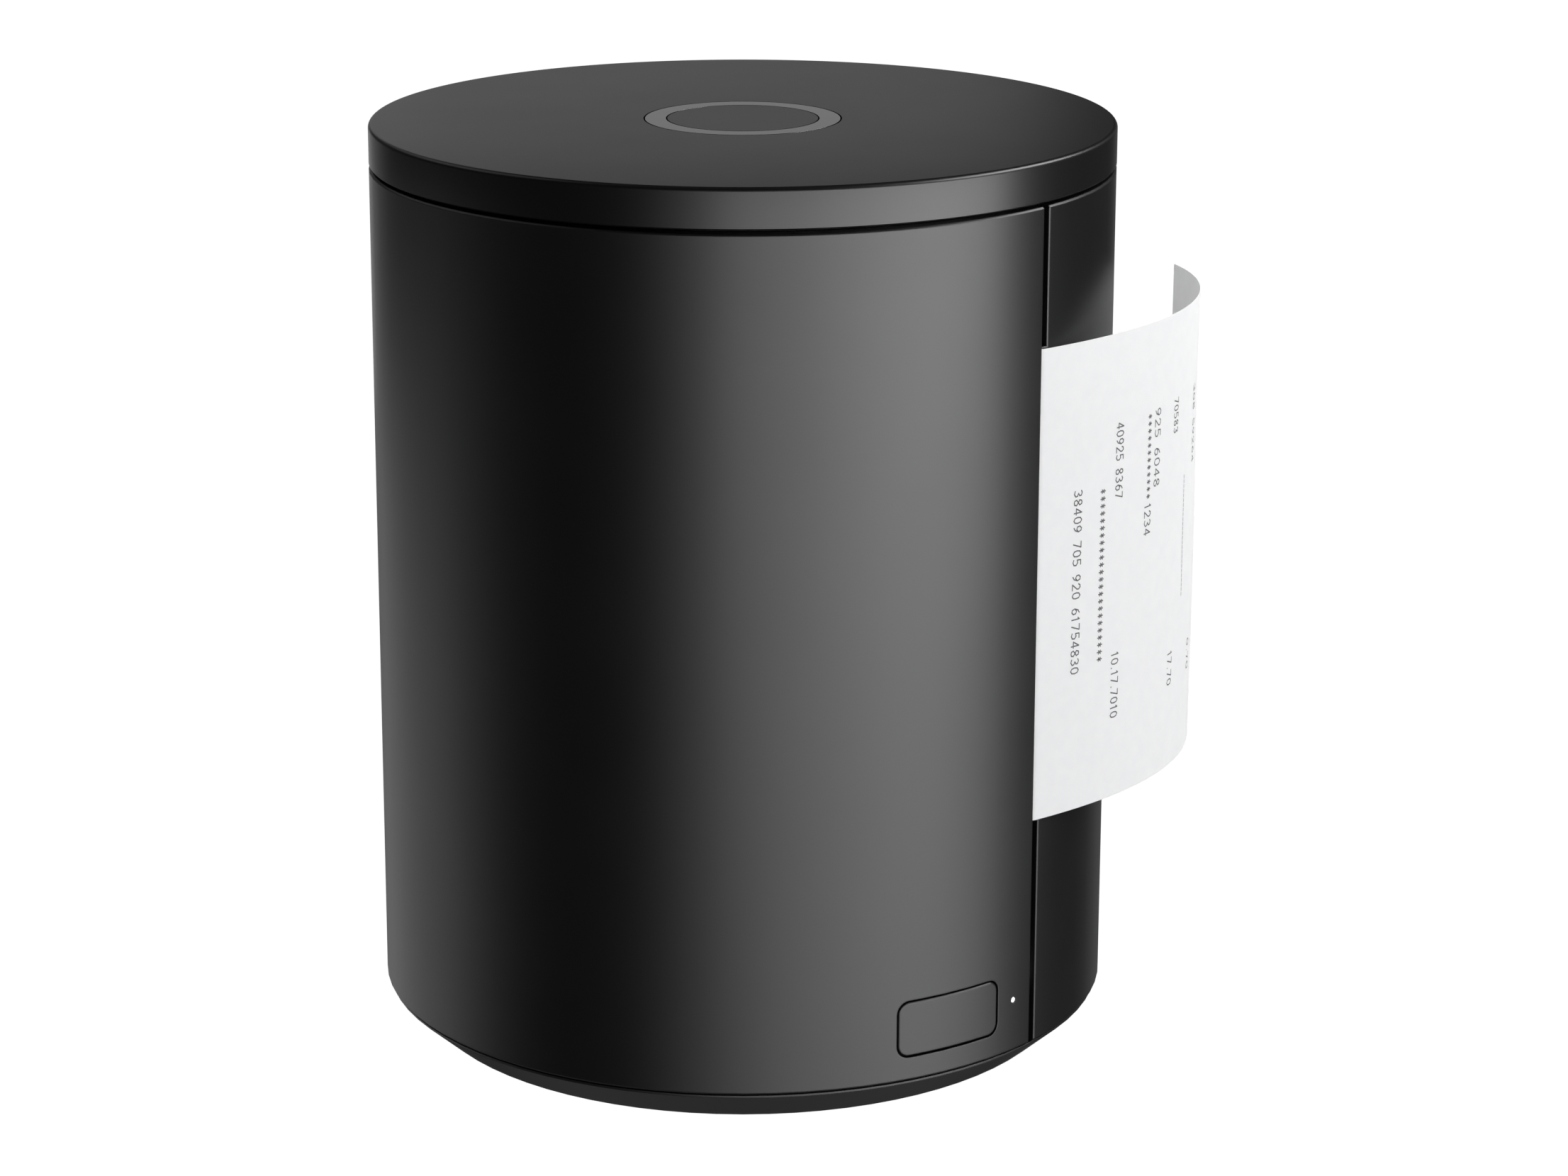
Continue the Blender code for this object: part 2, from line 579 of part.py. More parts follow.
def coil_spring(radius, wire, length, turns):
    """A short coil as one closed tube."""
    bm = bmesh.new()
    steps = round(turns * 10)
    sides = 6
    rings = []
    for i in range(steps + 1):
        t = i / steps
        a = 2 * math.pi * turns * t
        ring = []
        for k in range(sides):
            b = 2 * math.pi * k / sides
            r = radius + wire * cos(b)
            ring.append(bm.verts.new((r * cos(a), r * sin(a), length * t + wire * sin(b))))
        rings.append(ring)
    for i in range(steps):
        for k in range(sides):
            n = (k + 1) % sides
            bm.faces.new((rings[i][k], rings[i + 1][k], rings[i + 1][n], rings[i][n]))
    bm.faces.new(rings[0])
    bm.faces.new(rings[-1][::-1])
    return bm


def build_print_unit():
    head = [(-9.5, 0.3), (2.0, 0.3), (2.0, 1.3), (-9.5, 1.3)]
    new_object("print_head", nip_prism(head, 43.6, 128.4), "ceramic_white", smooth=False)
    sink = [(-11.0, 1.6), (2.0, 1.6), (2.0, 4.0), (-11.0, 4.0)]
    new_object("head_heat_sink", nip_prism(sink, 42.6, 129.4), "aluminium", smooth=False)
    bracket = [(-14.0, 8.0), (-1.5, 8.0), (-1.5, 9.2), (-14.0, 9.2)]
    new_object("head_bracket", nip_prism(bracket, 41.6, CEILING_Z0 - 0.3), "plated_steel", smooth=False)
    for i, z in enumerate((62.0, 110.0)):
        spring = coil_spring(2.3, 0.35, 3.2, 2.5)
        angle = radians(NIP_ANGLE)
        out = Vector((cos(angle), sin(angle), 0.0))
        up = Vector((0.0, 0.0, 1.0))
        frame = Matrix((up.cross(out), up, out)).transposed().to_4x4()
        bmesh.ops.transform(spring, matrix=frame, verts=spring.verts)
        spot = nip_spot(-6.0, 4.4)
        bmesh.ops.translate(spring, vec=(spot[0], spot[1], z), verts=spring.verts)
        new_object(f"head_spring_{i + 1}", spring, "steel")
    x, y = PLATEN_AT
    rubber = [(SHAFT_R, PAPER_Z0 - 0.3), (PLATEN_R, PAPER_Z0 - 0.3)]
    rubber += [(PLATEN_R, PAPER_Z1 + 0.3), (SHAFT_R, PAPER_Z1 + 0.3)]
    new_object("platen_roller", lathe(rubber, 28), "rubber_black", (x, y, 0.0))
    new_object("platen_shaft", rod(SHAFT_R - 0.02, 35.2, 137.2, count=28), "steel", (x, y, 0.0))
    for name, (z0, z1) in (("platen_bushing_lower", LOWER_ARM), ("platen_bushing_upper", UPPER_ARM)):
        sleeve = [(SHAFT_R + 0.05, z0), (4.2, z0), (4.2, z1), (SHAFT_R + 0.05, z1)]
        new_object(name, lathe(sleeve, 20), "brass", (x, y, 0.0))


def spur_gear(name, teeth, module, phase, at, z0, z1, bore, look="gear_white"):
    gear = new_object(name, prism(gear_outline(teeth, module, phase), z0, z1), look, (*at, 0.0))
    combine(gear, rod(bore, z0 - 1.0, z1 + 1.0, at, 24), "DIFFERENCE")
    return gear


def build_gears():
    toward_platen = DRIVE_FROM_PLATEN - 180.0
    spur_gear("drive_gear", DRIVE_TEETH, FEED_MODULE, toward_platen, DRIVE_AT, GEAR_Z0, GEAR_Z1, 1.58)
    spur_gear("platen_gear", SMALL_TEETH, FEED_MODULE, DRIVE_FROM_PLATEN + 180.0 / SMALL_TEETH,
              PLATEN_AT, GEAR_Z0, GEAR_Z1, SHAFT_R + 0.06)
    lag = (PINION_FROM_DRIVE - toward_platen) % (360.0 / DRIVE_TEETH)
    gap = PINION_FROM_DRIVE + 180.0 + lag * DRIVE_TEETH / SMALL_TEETH
    spur_gear("motor_pinion", SMALL_TEETH, FEED_MODULE, gap + 180.0 / SMALL_TEETH,
              MOTOR_AT, GEAR_Z0, GEAR_Z1, 1.2, "brass")
    axle = [(0.0, 34.25), (4.0, 34.25), (4.0, 35.7), (1.5, 35.7), (1.5, 40.3)]
    axle += [(2.4, 40.3), (2.4, 41.2), (0.0, 41.2)]
    new_object("drive_gear_axle", lathe(axle, 20), "steel", (*DRIVE_AT, 0.0))
    motor = [(0.0, 10.2), (16.5, 10.2), (16.5, 31.2), (5.0, 31.2), (5.0, 32.6)]
    motor += [(1.28, 32.6), (1.28, 26.0), (0.0, 26.0)]
    new_object("feed_motor", lathe(motor, 28), "plated_steel", (*MOTOR_AT, 0.0))
    new_object("motor_shaft", rod(1.18, 26.5, 40.8, count=20), "steel", (*MOTOR_AT, 0.0))


def build_cutter():
    fixed = [(9.4, -0.35), (14.2, -0.35), (14.2, -1.05), (9.4, -1.05)]
    new_object("cutter_fixed_blade", slot_frame_prism(fixed, 45.7, 128.4), "plated_steel", smooth=False)
    moving = [(8.55, 0.9), (9.05, 0.9), (9.05, 10.5), (8.55, 10.5)]
    blade = new_object("cutter_moving_blade", slot_frame_prism(moving, 45.7, 132.6), "plated_steel",
                       smooth=False)
    corner = [(8.0, 9.2), (9.8, 9.2), (9.8, 12.0), (8.0, 12.0)]
    combine(blade, slot_frame_prism(corner, 45.0, 47.5), "DIFFERENCE")
    pitch = FEED_MODULE * RACK_TEETH / 2
    line = CUTTER_AXIS[0] + pitch
    step = math.pi * FEED_MODULE
    rack = [(8.8, 5.0), (8.8, 19.0)]
    count = 5
    slope = math.tan(PRESSURE)
    top, foot = line - ADDENDUM * FEED_MODULE, line + DEDENDUM * FEED_MODULE
    for k in range(count, -count - 1, -1):
        middle = CUTTER_AXIS[1] + (k + 0.5) * step
        if not 6.0 < middle < 18.0:
            continue
        for back, sense in ((foot, 1), (top, 1), (top, -1), (foot, -1)):
            half = step / 4 - BACKLASH / 2 + (back - line) * slope
            rack.append((back, middle + sense * half))
    rack[1] = (8.8, rack[2][1] + 0.6)
    rack.insert(2, (foot, rack[1][1]))
    rack.append((foot, rack[-1][1] - 0.6))
    rack[0] = (8.8, rack[-1][1])
    combine(blade, slot_frame_prism(rack, RACK_Z0, RACK_Z1), "UNION")
    toward_rack = SLOT_DIR + 180.0
    teeth = prism(gear_outline(RACK_TEETH, FEED_MODULE, toward_rack), RACK_Z0, RACK_Z1)
    pinion = new_object("cutter_pinion", teeth, "brass", (*CUTTER_AT, 0.0))
    combine(pinion, rod(0.98, 122.5, 131.6, CUTTER_AT, 16), "UNION")
    motor = [(0.0, 100.0), (5.6, 100.0), (5.6, 126.6), (3.0, 126.6)]
    motor += [(3.0, 127.4), (1.08, 127.4), (1.08, 122.0), (0.0, 122.0)]
    new_object("cutter_motor", lathe(motor, 20), "plated_steel", (*CUTTER_AT, 0.0))
    guide = [(9.4, 1.4), (11.0, 1.4), (11.0, 11.0), (9.4, 11.0)]
    new_object("cutter_guide", slot_frame_prism(guide, 45.6, 132.7), "chassis_grey", smooth=False)


def port_prism(x0, x1, z0, z1, r0, r1):
    shape = [(x0, z0), (x1, z0), (x1, z1), (x0, z1)]
    return radial_prism(shape, PORT_ANGLE, 0.0, r0, r1)


def build_electronics():
    board = prism([(-6.0, -27.0), (48.6, -27.0), (48.6, 27.0), (-6.0, 27.0)], 10.6, 12.0)
    new_object("main_board", board, "board_green", (0.0, 0.0, 0.0), PORT_ANGLE, smooth=False)
    panel = new_object("port_panel", port_prism(-26.5, 26.5, 10.6, 30.4, PORT_FACE - 1.5, PORT_FACE),
                       "chassis_grey", smooth=False)
    sockets = (("power_socket", -18.0, 4.8, 11.6), ("usb_socket", -1.0, 6.2, 11.4))
    sockets += (("drawer_socket", 16.0, 6.9, 12.4),)
    for name, x, half, tall in sockets:
        hole = port_prism(x - half - 0.3, x + half + 0.3, SOCKET_Z - 0.3, SOCKET_Z + 0.3 + tall, 40.0, 60.0)
        combine(panel, hole, "DIFFERENCE")
        block = port_prism(x - half, x + half, SOCKET_Z, SOCKET_Z + tall, 37.0, PORT_FACE + 0.5)
        body = new_object(name, block, "socket_black", smooth=False)
        middle = SOCKET_Z + tall / 2
        if name == "power_socket":
            hole = [(x + u, middle + v) for u, v in circle(3.2, count=24)]
            combine(body, radial_prism(hole, PORT_ANGLE, 0.0, 40.0, 60.0), "DIFFERENCE")
            pin = [(x + u, middle + v) for u, v in circle(1.0, count=16)]
            combine(body, radial_prism(pin, PORT_ANGLE, 0.0, 39.0, 49.5), "UNION")
        elif name == "usb_socket":
            combine(body, port_prism(x - 4.2, x + 4.2, middle - 3.9, middle + 3.9, 40.0, 60.0), "DIFFERENCE")
            combine(body, port_prism(x - 2.8, x + 2.8, middle - 1.4, middle + 1.4, 39.0, 48.5), "UNION")
        else:
            combine(body, port_prism(x - 4.9, x + 4.9, middle - 3.3, middle + 3.7, 40.0, 60.0), "DIFFERENCE")
    spot = along(PORT_ANGLE + 38.0, 24.0)
    can = [(0.0, 12.3), (5.0, 12.3), (5.0, 27.3), (4.6, 27.8), (0.0, 27.8)]
    new_object("power_capacitor", lathe(can, 20), "socket_black", (*spot, 0.0))


def set_origin(name, spot):
    """Put a moving piece's origin on the axis that it turns about or slides along."""
    obj = bpy.data.objects[name]
    shift = Vector(spot) * MM - obj.location
    obj.data.transform(Matrix.Translation(-shift))
    obj.location += shift


def hang_on(parent_name, names):
    """Parent pieces to the one that carries them, without moving them."""
    bpy.context.view_layer.update()
    parent = bpy.data.objects[parent_name]
    for name in names:
        obj = bpy.data.objects[name]
        obj.parent = parent
        obj.matrix_parent_inverse = parent.matrix_world.inverted()


def place_on_axes():
    set_origin("paper_door", (*HINGE_AT, 0.0))
    push_line = (*along(BUTTON_ANGLE, CASE_R), BUTTON_Z)
    set_origin("feed_button", push_line)
    set_origin("switch_plunger", push_line)
    set_origin("cutter_moving_blade", (*slot_spot(8.8, 0.9), RACK_Z0))
    hang_on("paper_door", ("door_magnet", "platen_bushing_lower", "platen_bushing_upper", "cutter_guide",
                           "cutter_motor", "receipt", "platen_shaft", "cutter_moving_blade", "cutter_pinion"))
    hang_on("platen_shaft", ("platen_roller", "platen_gear"))
    hang_on("roll_turntable", ("roll_core", "paper_roll"))
    hang_on("feed_button", ("switch_plunger",))
    hang_on("motor_shaft", ("motor_pinion",))


def main():
    clear_scene()
    for name, (colour, rough, metal) in LOOKS.items():
        make_material(name, colour, rough, metal)
    build_case()
    build_shell()
    build_door()
    build_magnet()
    build_lid()
    build_button()
    build_chassis()
    build_roll()
    build_print_unit()
    build_gears()
    build_cutter()
    build_electronics()
    place_on_axes()


main()
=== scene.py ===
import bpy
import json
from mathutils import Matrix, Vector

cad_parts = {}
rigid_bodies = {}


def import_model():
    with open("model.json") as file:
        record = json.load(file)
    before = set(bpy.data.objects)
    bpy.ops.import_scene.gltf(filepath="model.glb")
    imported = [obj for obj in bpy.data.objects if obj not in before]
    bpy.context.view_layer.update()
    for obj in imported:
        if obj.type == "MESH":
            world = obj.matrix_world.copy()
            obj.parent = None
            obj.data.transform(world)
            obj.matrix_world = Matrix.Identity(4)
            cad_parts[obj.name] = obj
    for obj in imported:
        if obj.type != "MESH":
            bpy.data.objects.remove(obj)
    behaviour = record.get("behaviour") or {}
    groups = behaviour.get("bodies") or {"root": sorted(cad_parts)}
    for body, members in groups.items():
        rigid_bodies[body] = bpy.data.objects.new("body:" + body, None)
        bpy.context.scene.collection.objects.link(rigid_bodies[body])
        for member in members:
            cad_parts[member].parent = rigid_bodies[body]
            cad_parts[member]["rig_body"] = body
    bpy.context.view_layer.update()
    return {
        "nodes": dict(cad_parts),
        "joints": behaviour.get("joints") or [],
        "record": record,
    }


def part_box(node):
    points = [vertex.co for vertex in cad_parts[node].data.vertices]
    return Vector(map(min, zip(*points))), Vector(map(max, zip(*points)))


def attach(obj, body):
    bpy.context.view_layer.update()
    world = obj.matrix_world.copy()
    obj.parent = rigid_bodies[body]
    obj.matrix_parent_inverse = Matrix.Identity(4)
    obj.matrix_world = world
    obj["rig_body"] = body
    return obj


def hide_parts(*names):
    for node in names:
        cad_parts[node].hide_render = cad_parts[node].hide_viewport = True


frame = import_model()

import json
import math

import bmesh
import bpy
import numpy as np
from mathutils import Vector

# Plan of the paper path, metres and degrees, in the object's own frame
SLOT_POINT = (0.04833, -0.03966)
SLOT_DIR = 21.0
PATH_R = 0.0052
NIP_ANGLE = -108.0
ROLL_BACK = 0.052
CUT_OUTER = 0.0082
CUT_INNER = 0.0094
WEB_STEPS = 14
WRAP_STEPS = 8
WEB_ROWS = 6

# The printed slip from the slot's mouth to its torn end: its heading turns more the further it is out
SLIP_LENGTH = 0.0774
SLIP_START_DIR = 37.4
SLIP_BEND = 8.23
SLIP_BEND_GROWTH = 214.8
SLIP_UNEVEN = 0.00012
SLIP_STEPS = 96
SLIP_ROWS = 48
SHEET_T = 0.00007

# Strokes of the print; the overrun is in half widths of the pen and the gap in widths of a figure
PEN_HALF = 0.000105
PEN_OVERRUN = 0.6
INK_LIFT = 0.000012
FIGURE_GAP = 0.35

# Drum and lid: the rounding of the rim, the groove of the inlay, and the profile from the lower rim to
# the middle of the underside
DRUM_R = 0.0625
LID_ROUND = 0.0007
ROUND_STEPS = 8
GROOVE_IN = 0.0126
GROOVE_OUT = 0.0166
GROOVE_DEEP = 0.0009
LID_UNDERSIDE = [(DRUM_R, 0.14985), (0.06225, 0.1496), (0.0599, 0.1496), (0.0599, 0.1445), (0.0579, 0.1445),
                 (0.0579, 0.1533), (0.0, 0.1533)]
LID_STEPS = 180

# Front of the feed key, metres and degrees
KEY_ANGLE = -56.85
KEY_Z = 0.01575
KEY_WIDE = 0.01987
KEY_HIGH = 0.00935
KEY_CORNER = 0.0019
KEY_ROUND = 0.00028
KEY_SET_BACK = 0.0008

# How a face of the CAD is known to be part of a turned surface, metres, cosines and degrees
WELD = 0.000002
SAME_PLANE = 0.15
LEVEL = 0.9999
UPRIGHT = 0.02
ON_AXIS = 0.0002
RADIUS_SLACK = 0.00009
RADIUS_SHARE = 0.01
LEAN = 5.0

# The case's black, and the scale and depth of its grain
CASE_COLOUR = (0.0010, 0.0010, 0.0011)
CASE_GRAIN = 3800.0
CASE_GRAIN_DEPTH = 0.0000016

# The room that the camera sees
WORLD_LIGHT = 0.04
FLOOR_HALF = 3.5
FLOOR_GLOW = 1.0
ROOM_R = 3.4
ROOM_SIDES = 24
ROOM_SPAN = (-0.5, 3.2)
ROOM_GLOW = 1.0

# Radiance of each upright strip of the soft panels, by its azimuth. These come from a least-squares fit
# to the photo's grey levels, changed by hand afterwards; report.md says what that hides.
LOW_STRIPS = {-105: 0.55, -90: 1.5, -75: 2.5, -60: 2.95, -45: 3.5, -30: 3.4, -15: 2.2, 0: 0.2,
              60: 0.2, 75: 0.15, 90: 0.08, 105: 0.14, 120: 0.5, 135: 0.6, 150: 0.6, 165: 0.75, 180: 0.4,
              195: 0.1}
CORE_STRIPS = {-105: 0.8, -90: 4.4, -75: 4.6, -60: 6.5, -45: 7.8, -30: 8.2, -15: 6.8,
               75: 0.3, 90: 1.2, 105: 1.0, 120: 0.3}
REAR_STRIPS = {90: 0.34, 105: 0.45}

# Heights of the panels, their distance and width, and the point that they face
LOW_SPAN = (-0.6, -0.15)
CORE_SPAN = (-0.15, 0.15)
REAR_SPAN = (0.2, 0.6)
HIGH_SPAN = (0.6, 1.1)
PANEL_R = 1.1
PANEL_STEP = 15.0
AIM = Vector((0.0, 0.0, 0.08))
EDGE_GLOW = 9.0
SURROUND_SPAN = (-0.2, 1.2)
SURROUND_R = 1.2
SURROUND_STEP = 60
SURROUND_GLOW = 2.08
CASE_PIECES = ("lid", "drum_wall", "door_wall", "base", "feed_key", "lid_ring", "rubber_foot")

# Camera, millimetres for the lens and metres and degrees for the rest
SENSOR_WIDE = 36.0
LENS = 97.2
LENS_SHIFT = (0.0263, -0.0316)
CLIP_START = 0.01
CAMERA_PLACE = (0.0, -0.7009, 0.2774)
CAMERA_PITCH = 15.476

JOINTS = {j["name"]: j for j in frame["joints"]}
DRUM_AXIS = (0.0, 0.0)
HINGE_AXIS = tuple(JOINTS["door_hinge"]["pos_m"][:2])
PLATEN_AXIS = tuple(JOINTS["platen_spin"]["pos_m"][:2])
ROLL_AXIS = tuple(JOINTS["roll_spin"]["pos_m"][:2])
MOTOR_AXIS = tuple(JOINTS["pinion_spin"]["pos_m"][:2])
CUTTER_AXIS = tuple(JOINTS["cutter_spin"]["pos_m"][:2])


# ---------------------------------------------------------------- materials

class Look:
    """Small helper around one node material."""

    def __init__(self, name, colour, rough, metal=0.0):
        self.mat = bpy.data.materials.new(name)
        self.mat.use_nodes = True
        self.tree = self.mat.node_tree
        self.shader = self.tree.nodes["Principled BSDF"]
        self.shader.inputs["Base Color"].default_value = (*colour, 1.0)
        self.shader.inputs["Roughness"].default_value = rough
        self.shader.inputs["Metallic"].default_value = metal
        self.colour = colour
        self.rough = rough
        coord = self.tree.nodes.new("ShaderNodeTexCoord")
        self.place = coord.outputs["Object"]

    def node(self, kind, **values):
        made = self.tree.nodes.new(kind)
        for key, value in values.items():
            setattr(made, key, value)
        return made

    def link(self, a, b):
        self.tree.links.new(a, b)

    def stretched(self, sx, sy, sz):
        mapping = self.node("ShaderNodeMapping")
        mapping.inputs["Scale"].default_value = (sx, sy, sz)
        self.link(self.place, mapping.inputs["Vector"])
        return mapping.outputs["Vector"]

    def noise(self, scale, detail=3.0, vector=None):
        made = self.node("ShaderNodeTexNoise")
        made.inputs["Scale"].default_value = scale
        made.inputs["Detail"].default_value = detail
        self.link(vector or self.place, made.inputs["Vector"])
        return made.outputs["Fac"]

    def spread(self, value, low, high):
        made = self.node("ShaderNodeMapRange")
        made.inputs["To Min"].default_value = low
        made.inputs["To Max"].default_value = high
        self.link(value, made.inputs["Value"])
        return made.outputs["Result"]

    def vary_rough(self, scale, amount, vector=None):
        out = self.spread(self.noise(scale, 4.0, vector), self.rough - amount, self.rough + amount)
        self.link(out, self.shader.inputs["Roughness"])

    def vary_colour(self, fac, other, low=0.35, high=0.65):
        ramp = self.node("ShaderNodeValToRGB")
        ramp.color_ramp.elements[0].position = low
        ramp.color_ramp.elements[0].color = (*self.colour, 1.0)
        ramp.color_ramp.elements[1].position = high
        ramp.color_ramp.elements[1].color = (*other, 1.0)
        self.link(fac, ramp.inputs["Fac"])
        self.link(ramp.outputs["Color"], self.shader.inputs["Base Color"])
        return ramp.outputs["Color"]

    def bump(self, height, distance, strength=1.0, edge=0.0):
        made = self.node("ShaderNodeBump")
        made.inputs["Strength"].default_value = strength
        made.inputs["Distance"].default_value = distance
        self.link(height, made.inputs["Height"])
        if edge:
            soft = self.node("ShaderNodeBevel", samples=6)
            soft.inputs["Radius"].default_value = edge
            self.link(soft.outputs["Normal"], made.inputs["Normal"])
        self.link(made.outputs["Normal"], self.shader.inputs["Normal"])

    def edge_sheen_mask(self, radius):
        """1 on edges, 0 on flats: where the painted edge highlight goes."""
        soft = self.node("ShaderNodeBevel", samples=6)
        soft.inputs["Radius"].default_value = radius
        geo = self.node("ShaderNodeNewGeometry")
        dot = self.node("ShaderNodeVectorMath", operation="DOT_PRODUCT")
        self.link(soft.outputs["Normal"], dot.inputs[0])
        self.link(geo.outputs["Normal"], dot.inputs[1])
        ramp = self.node("ShaderNodeMapRange")
        ramp.inputs["From Min"].default_value = 0.9
        ramp.inputs["From Max"].default_value = 0.995
        ramp.inputs["To Min"].default_value = 1.0
        ramp.inputs["To Max"].default_value = 0.0
        self.link(dot.outputs["Value"], ramp.inputs["Value"])
        return ramp.outputs["Result"]


def plastic(name, colour, rough, grain=2600.0, depth=0.000006, patch_tone_and_edge_sheen=None, edge=0.0002, spread=0.05):
    look = Look(name, colour, rough)
    look.vary_rough(60.0, spread)
    # With a second tone the material gets random patches of it, and its edges get a painted highlight.
    if patch_tone_and_edge_sheen:
        patch = look.noise(45.0, 5.0)
        ramp_colour = look.vary_colour(patch, patch_tone_and_edge_sheen, 0.4, 0.75)
        # Painted edge highlight: the edges are mixed to a lighter colour than the flats.
        painted_edge_sheen = look.edge_sheen_mask(edge * 1.5)
        # sockets 6 and 7 and output 2 are the colour ones of this node
        mix = look.node("ShaderNodeMix", data_type="RGBA")
        look.link(painted_edge_sheen, mix.inputs["Factor"])
        look.link(ramp_colour, mix.inputs[6])
        mix.inputs[7].default_value = (*[min(1.0, c * 2.2 + 0.004) for c in colour], 1.0)
        look.link(mix.outputs[2], look.shader.inputs["Base Color"])
    look.bump(look.noise(grain, 2.0), depth, edge=edge)
    return look


def metal(name, colour, rough, along=(1.0, 1.0, 1.0), depth=0.000004, edge=0.00015, spread=0.08):
    look = Look(name, colour, rough, 1.0)
    vector = look.stretched(*along)
    look.vary_rough(900.0, spread, vector)
    look.vary_colour(look.noise(120.0, 4.0), [c * 0.8 for c in colour], 0.35, 0.8)
    look.bump(look.noise(2400.0, 2.0, vector), depth, edge=edge)
    return look


def paper_look():
    look = Look("till_paper", (0.83, 0.835, 0.845), 0.62)
    fibre = look.noise(1800.0, 6.0, look.stretched(1.0, 1.0, 0.35))
    look.vary_colour(look.noise(420.0, 4.0), (0.80, 0.807, 0.82), 0.3, 0.8)
    look.vary_rough(300.0, 0.06)
    look.bump(fibre, 0.000004)
    look.shader.inputs["Subsurface Weight"].default_value = 0.5
    look.shader.inputs["Subsurface Radius"].default_value = (1.0, 1.0, 1.0)
    look.shader.inputs["Subsurface Scale"].default_value = 0.0004
    return look


def print_look():
    look = Look("thermal_print", (0.05, 0.05, 0.055), 0.6)
    look.vary_colour(look.noise(5200.0, 3.0), (0.16, 0.16, 0.17), 0.35, 0.7)
    look.vary_rough(700.0, 0.06)
    return look


def roll_look():
    """Paper with rings of windings on the roll's ends; its side keeps the tone of the outermost ring."""
    look = Look("paper_roll_end", (0.84, 0.84, 0.83), 0.72)
    centred = look.node("ShaderNodeVectorMath", operation="SUBTRACT")
    centred.inputs[1].default_value = (*ROLL_AXIS, 0.0)
    look.link(look.place, centred.inputs[0])
    flat = look.node("ShaderNodeVectorMath", operation="MULTIPLY")
    flat.inputs[1].default_value = (1.0, 1.0, 0.0)
    look.link(centred.outputs["Vector"], flat.inputs[0])
    radius = look.node("ShaderNodeVectorMath", operation="LENGTH")
    look.link(flat.outputs["Vector"], radius.inputs[0])
    low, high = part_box("paper_roll")
    ends_only = look.node("ShaderNodeMath", operation="MINIMUM")
    ends_only.inputs[1].default_value = (high.x - low.x) / 2 - 0.0005
    look.link(radius.outputs["Value"], ends_only.inputs[0])
    wind = look.node("ShaderNodeTexNoise", noise_dimensions="1D")
    wind.inputs["Scale"].default_value = 4200.0
    wind.inputs["Detail"].default_value = 2.0
    look.link(ends_only.outputs["Value"], wind.inputs["W"])
    look.vary_colour(wind.outputs["Fac"], (0.66, 0.66, 0.64), 0.45, 0.8)
    look.vary_rough(260.0, 0.05)
    look.bump(wind.outputs["Fac"], 0.00002)
    return look


def lamp_look():
    look = plastic("light_pipe_white", (0.9, 0.92, 0.95), 0.25, 1500.0, 0.000002, edge=0.0)
    look.shader.inputs["Emission Color"].default_value = (0.95, 0.97, 1.0, 1.0)
    look.shader.inputs["Emission Strength"].default_value = 0.9
    return look


def board_look():
    """Green board with a faint grid for its tracks."""
    look = Look("green_board", (0.008, 0.11, 0.045), 0.35)
    cells = look.node("ShaderNodeTexBrick")
    cells.inputs["Scale"].default_value = 160.0
    cells.inputs["Mortar Size"].default_value = 0.03
    cells.inputs["Color1"].default_value = (0.008, 0.11, 0.045, 1.0)
    cells.inputs["Color2"].default_value = (0.009, 0.125, 0.05, 1.0)
    cells.inputs["Mortar"].default_value = (0.03, 0.2, 0.09, 1.0)
    look.link(look.place, cells.inputs["Vector"])
    look.link(cells.outputs["Color"], look.shader.inputs["Base Color"])
    look.vary_rough(200.0, 0.08)
    look.bump(cells.outputs["Fac"], 0.00001, 0.5)
    return look


def make_looks():
    """Every material by its slot's name, and case_turned, print and paper_roll, which aren't slots."""
    looks = {
        "case_black": plastic("case_black_satin", CASE_COLOUR, 0.36, CASE_GRAIN, CASE_GRAIN_DEPTH,
                              (0.0022, 0.0022, 0.0023), 0.00025, 0.012),
        "case_turned": plastic("case_black_turned", CASE_COLOUR, 0.34, CASE_GRAIN, CASE_GRAIN_DEPTH,
                               edge=0.0, spread=0.012),
        "polished_dark": metal("polished_dark_inlay", (0.10, 0.10, 0.105), 0.10, depth=0.0000008,
                               edge=0.0001, spread=0.03),
        "paper_white": paper_look(),
        "print": print_look(),
        "paper_roll": roll_look(),
        "light_white": lamp_look(),
        "rubber_black": plastic("soft_rubber", (0.018, 0.018, 0.018), 0.75, 1200.0, 0.00002,
                                (0.028, 0.028, 0.028)),
        "steel": metal("turned_steel", (0.52, 0.52, 0.53), 0.32, (1.0, 1.0, 6.0)),
        "plated_steel": metal("zinc_sheet", (0.64, 0.65, 0.67), 0.3, (1.0, 1.0, 0.2)),
        "aluminium": metal("extruded_aluminium", (0.74, 0.75, 0.77), 0.38, (1.0, 1.0, 0.05)),
        "brass": metal("turned_brass", (0.68, 0.49, 0.19), 0.3, (1.0, 1.0, 5.0)),
        "gear_white": plastic("natural_acetal", (0.74, 0.73, 0.68), 0.45, 900.0, 0.000006,
                              (0.70, 0.69, 0.63)),
        "chassis_grey": plastic("dark_moulding", (0.05, 0.05, 0.054), 0.58, 1600.0, 0.00001,
                                (0.042, 0.042, 0.045)),
        "card": plastic("wound_card", (0.42, 0.30, 0.18), 0.85, 700.0, 0.00004, (0.36, 0.25, 0.15)),
        "ceramic_white": plastic("glazed_ceramic", (0.80, 0.78, 0.72), 0.2, 500.0, 0.000002,
                                 (0.74, 0.71, 0.64)),
        "socket_black": plastic("socket_plastic", (0.018, 0.018, 0.02), 0.5, 1500.0, 0.000008,
                                (0.03, 0.03, 0.033)),
        "board_green": board_look(),
    }
    return {key: look.mat for key, look in looks.items()}


LOOKS = make_looks()
SLOTS = {part["node"]: part["material_slot"] for part in frame["record"]["subparts"]}
NODE_LOOK = dict(SLOTS, paper_roll="paper_roll")


# ---------------------------------------------------------------- smooth twins of round nodes

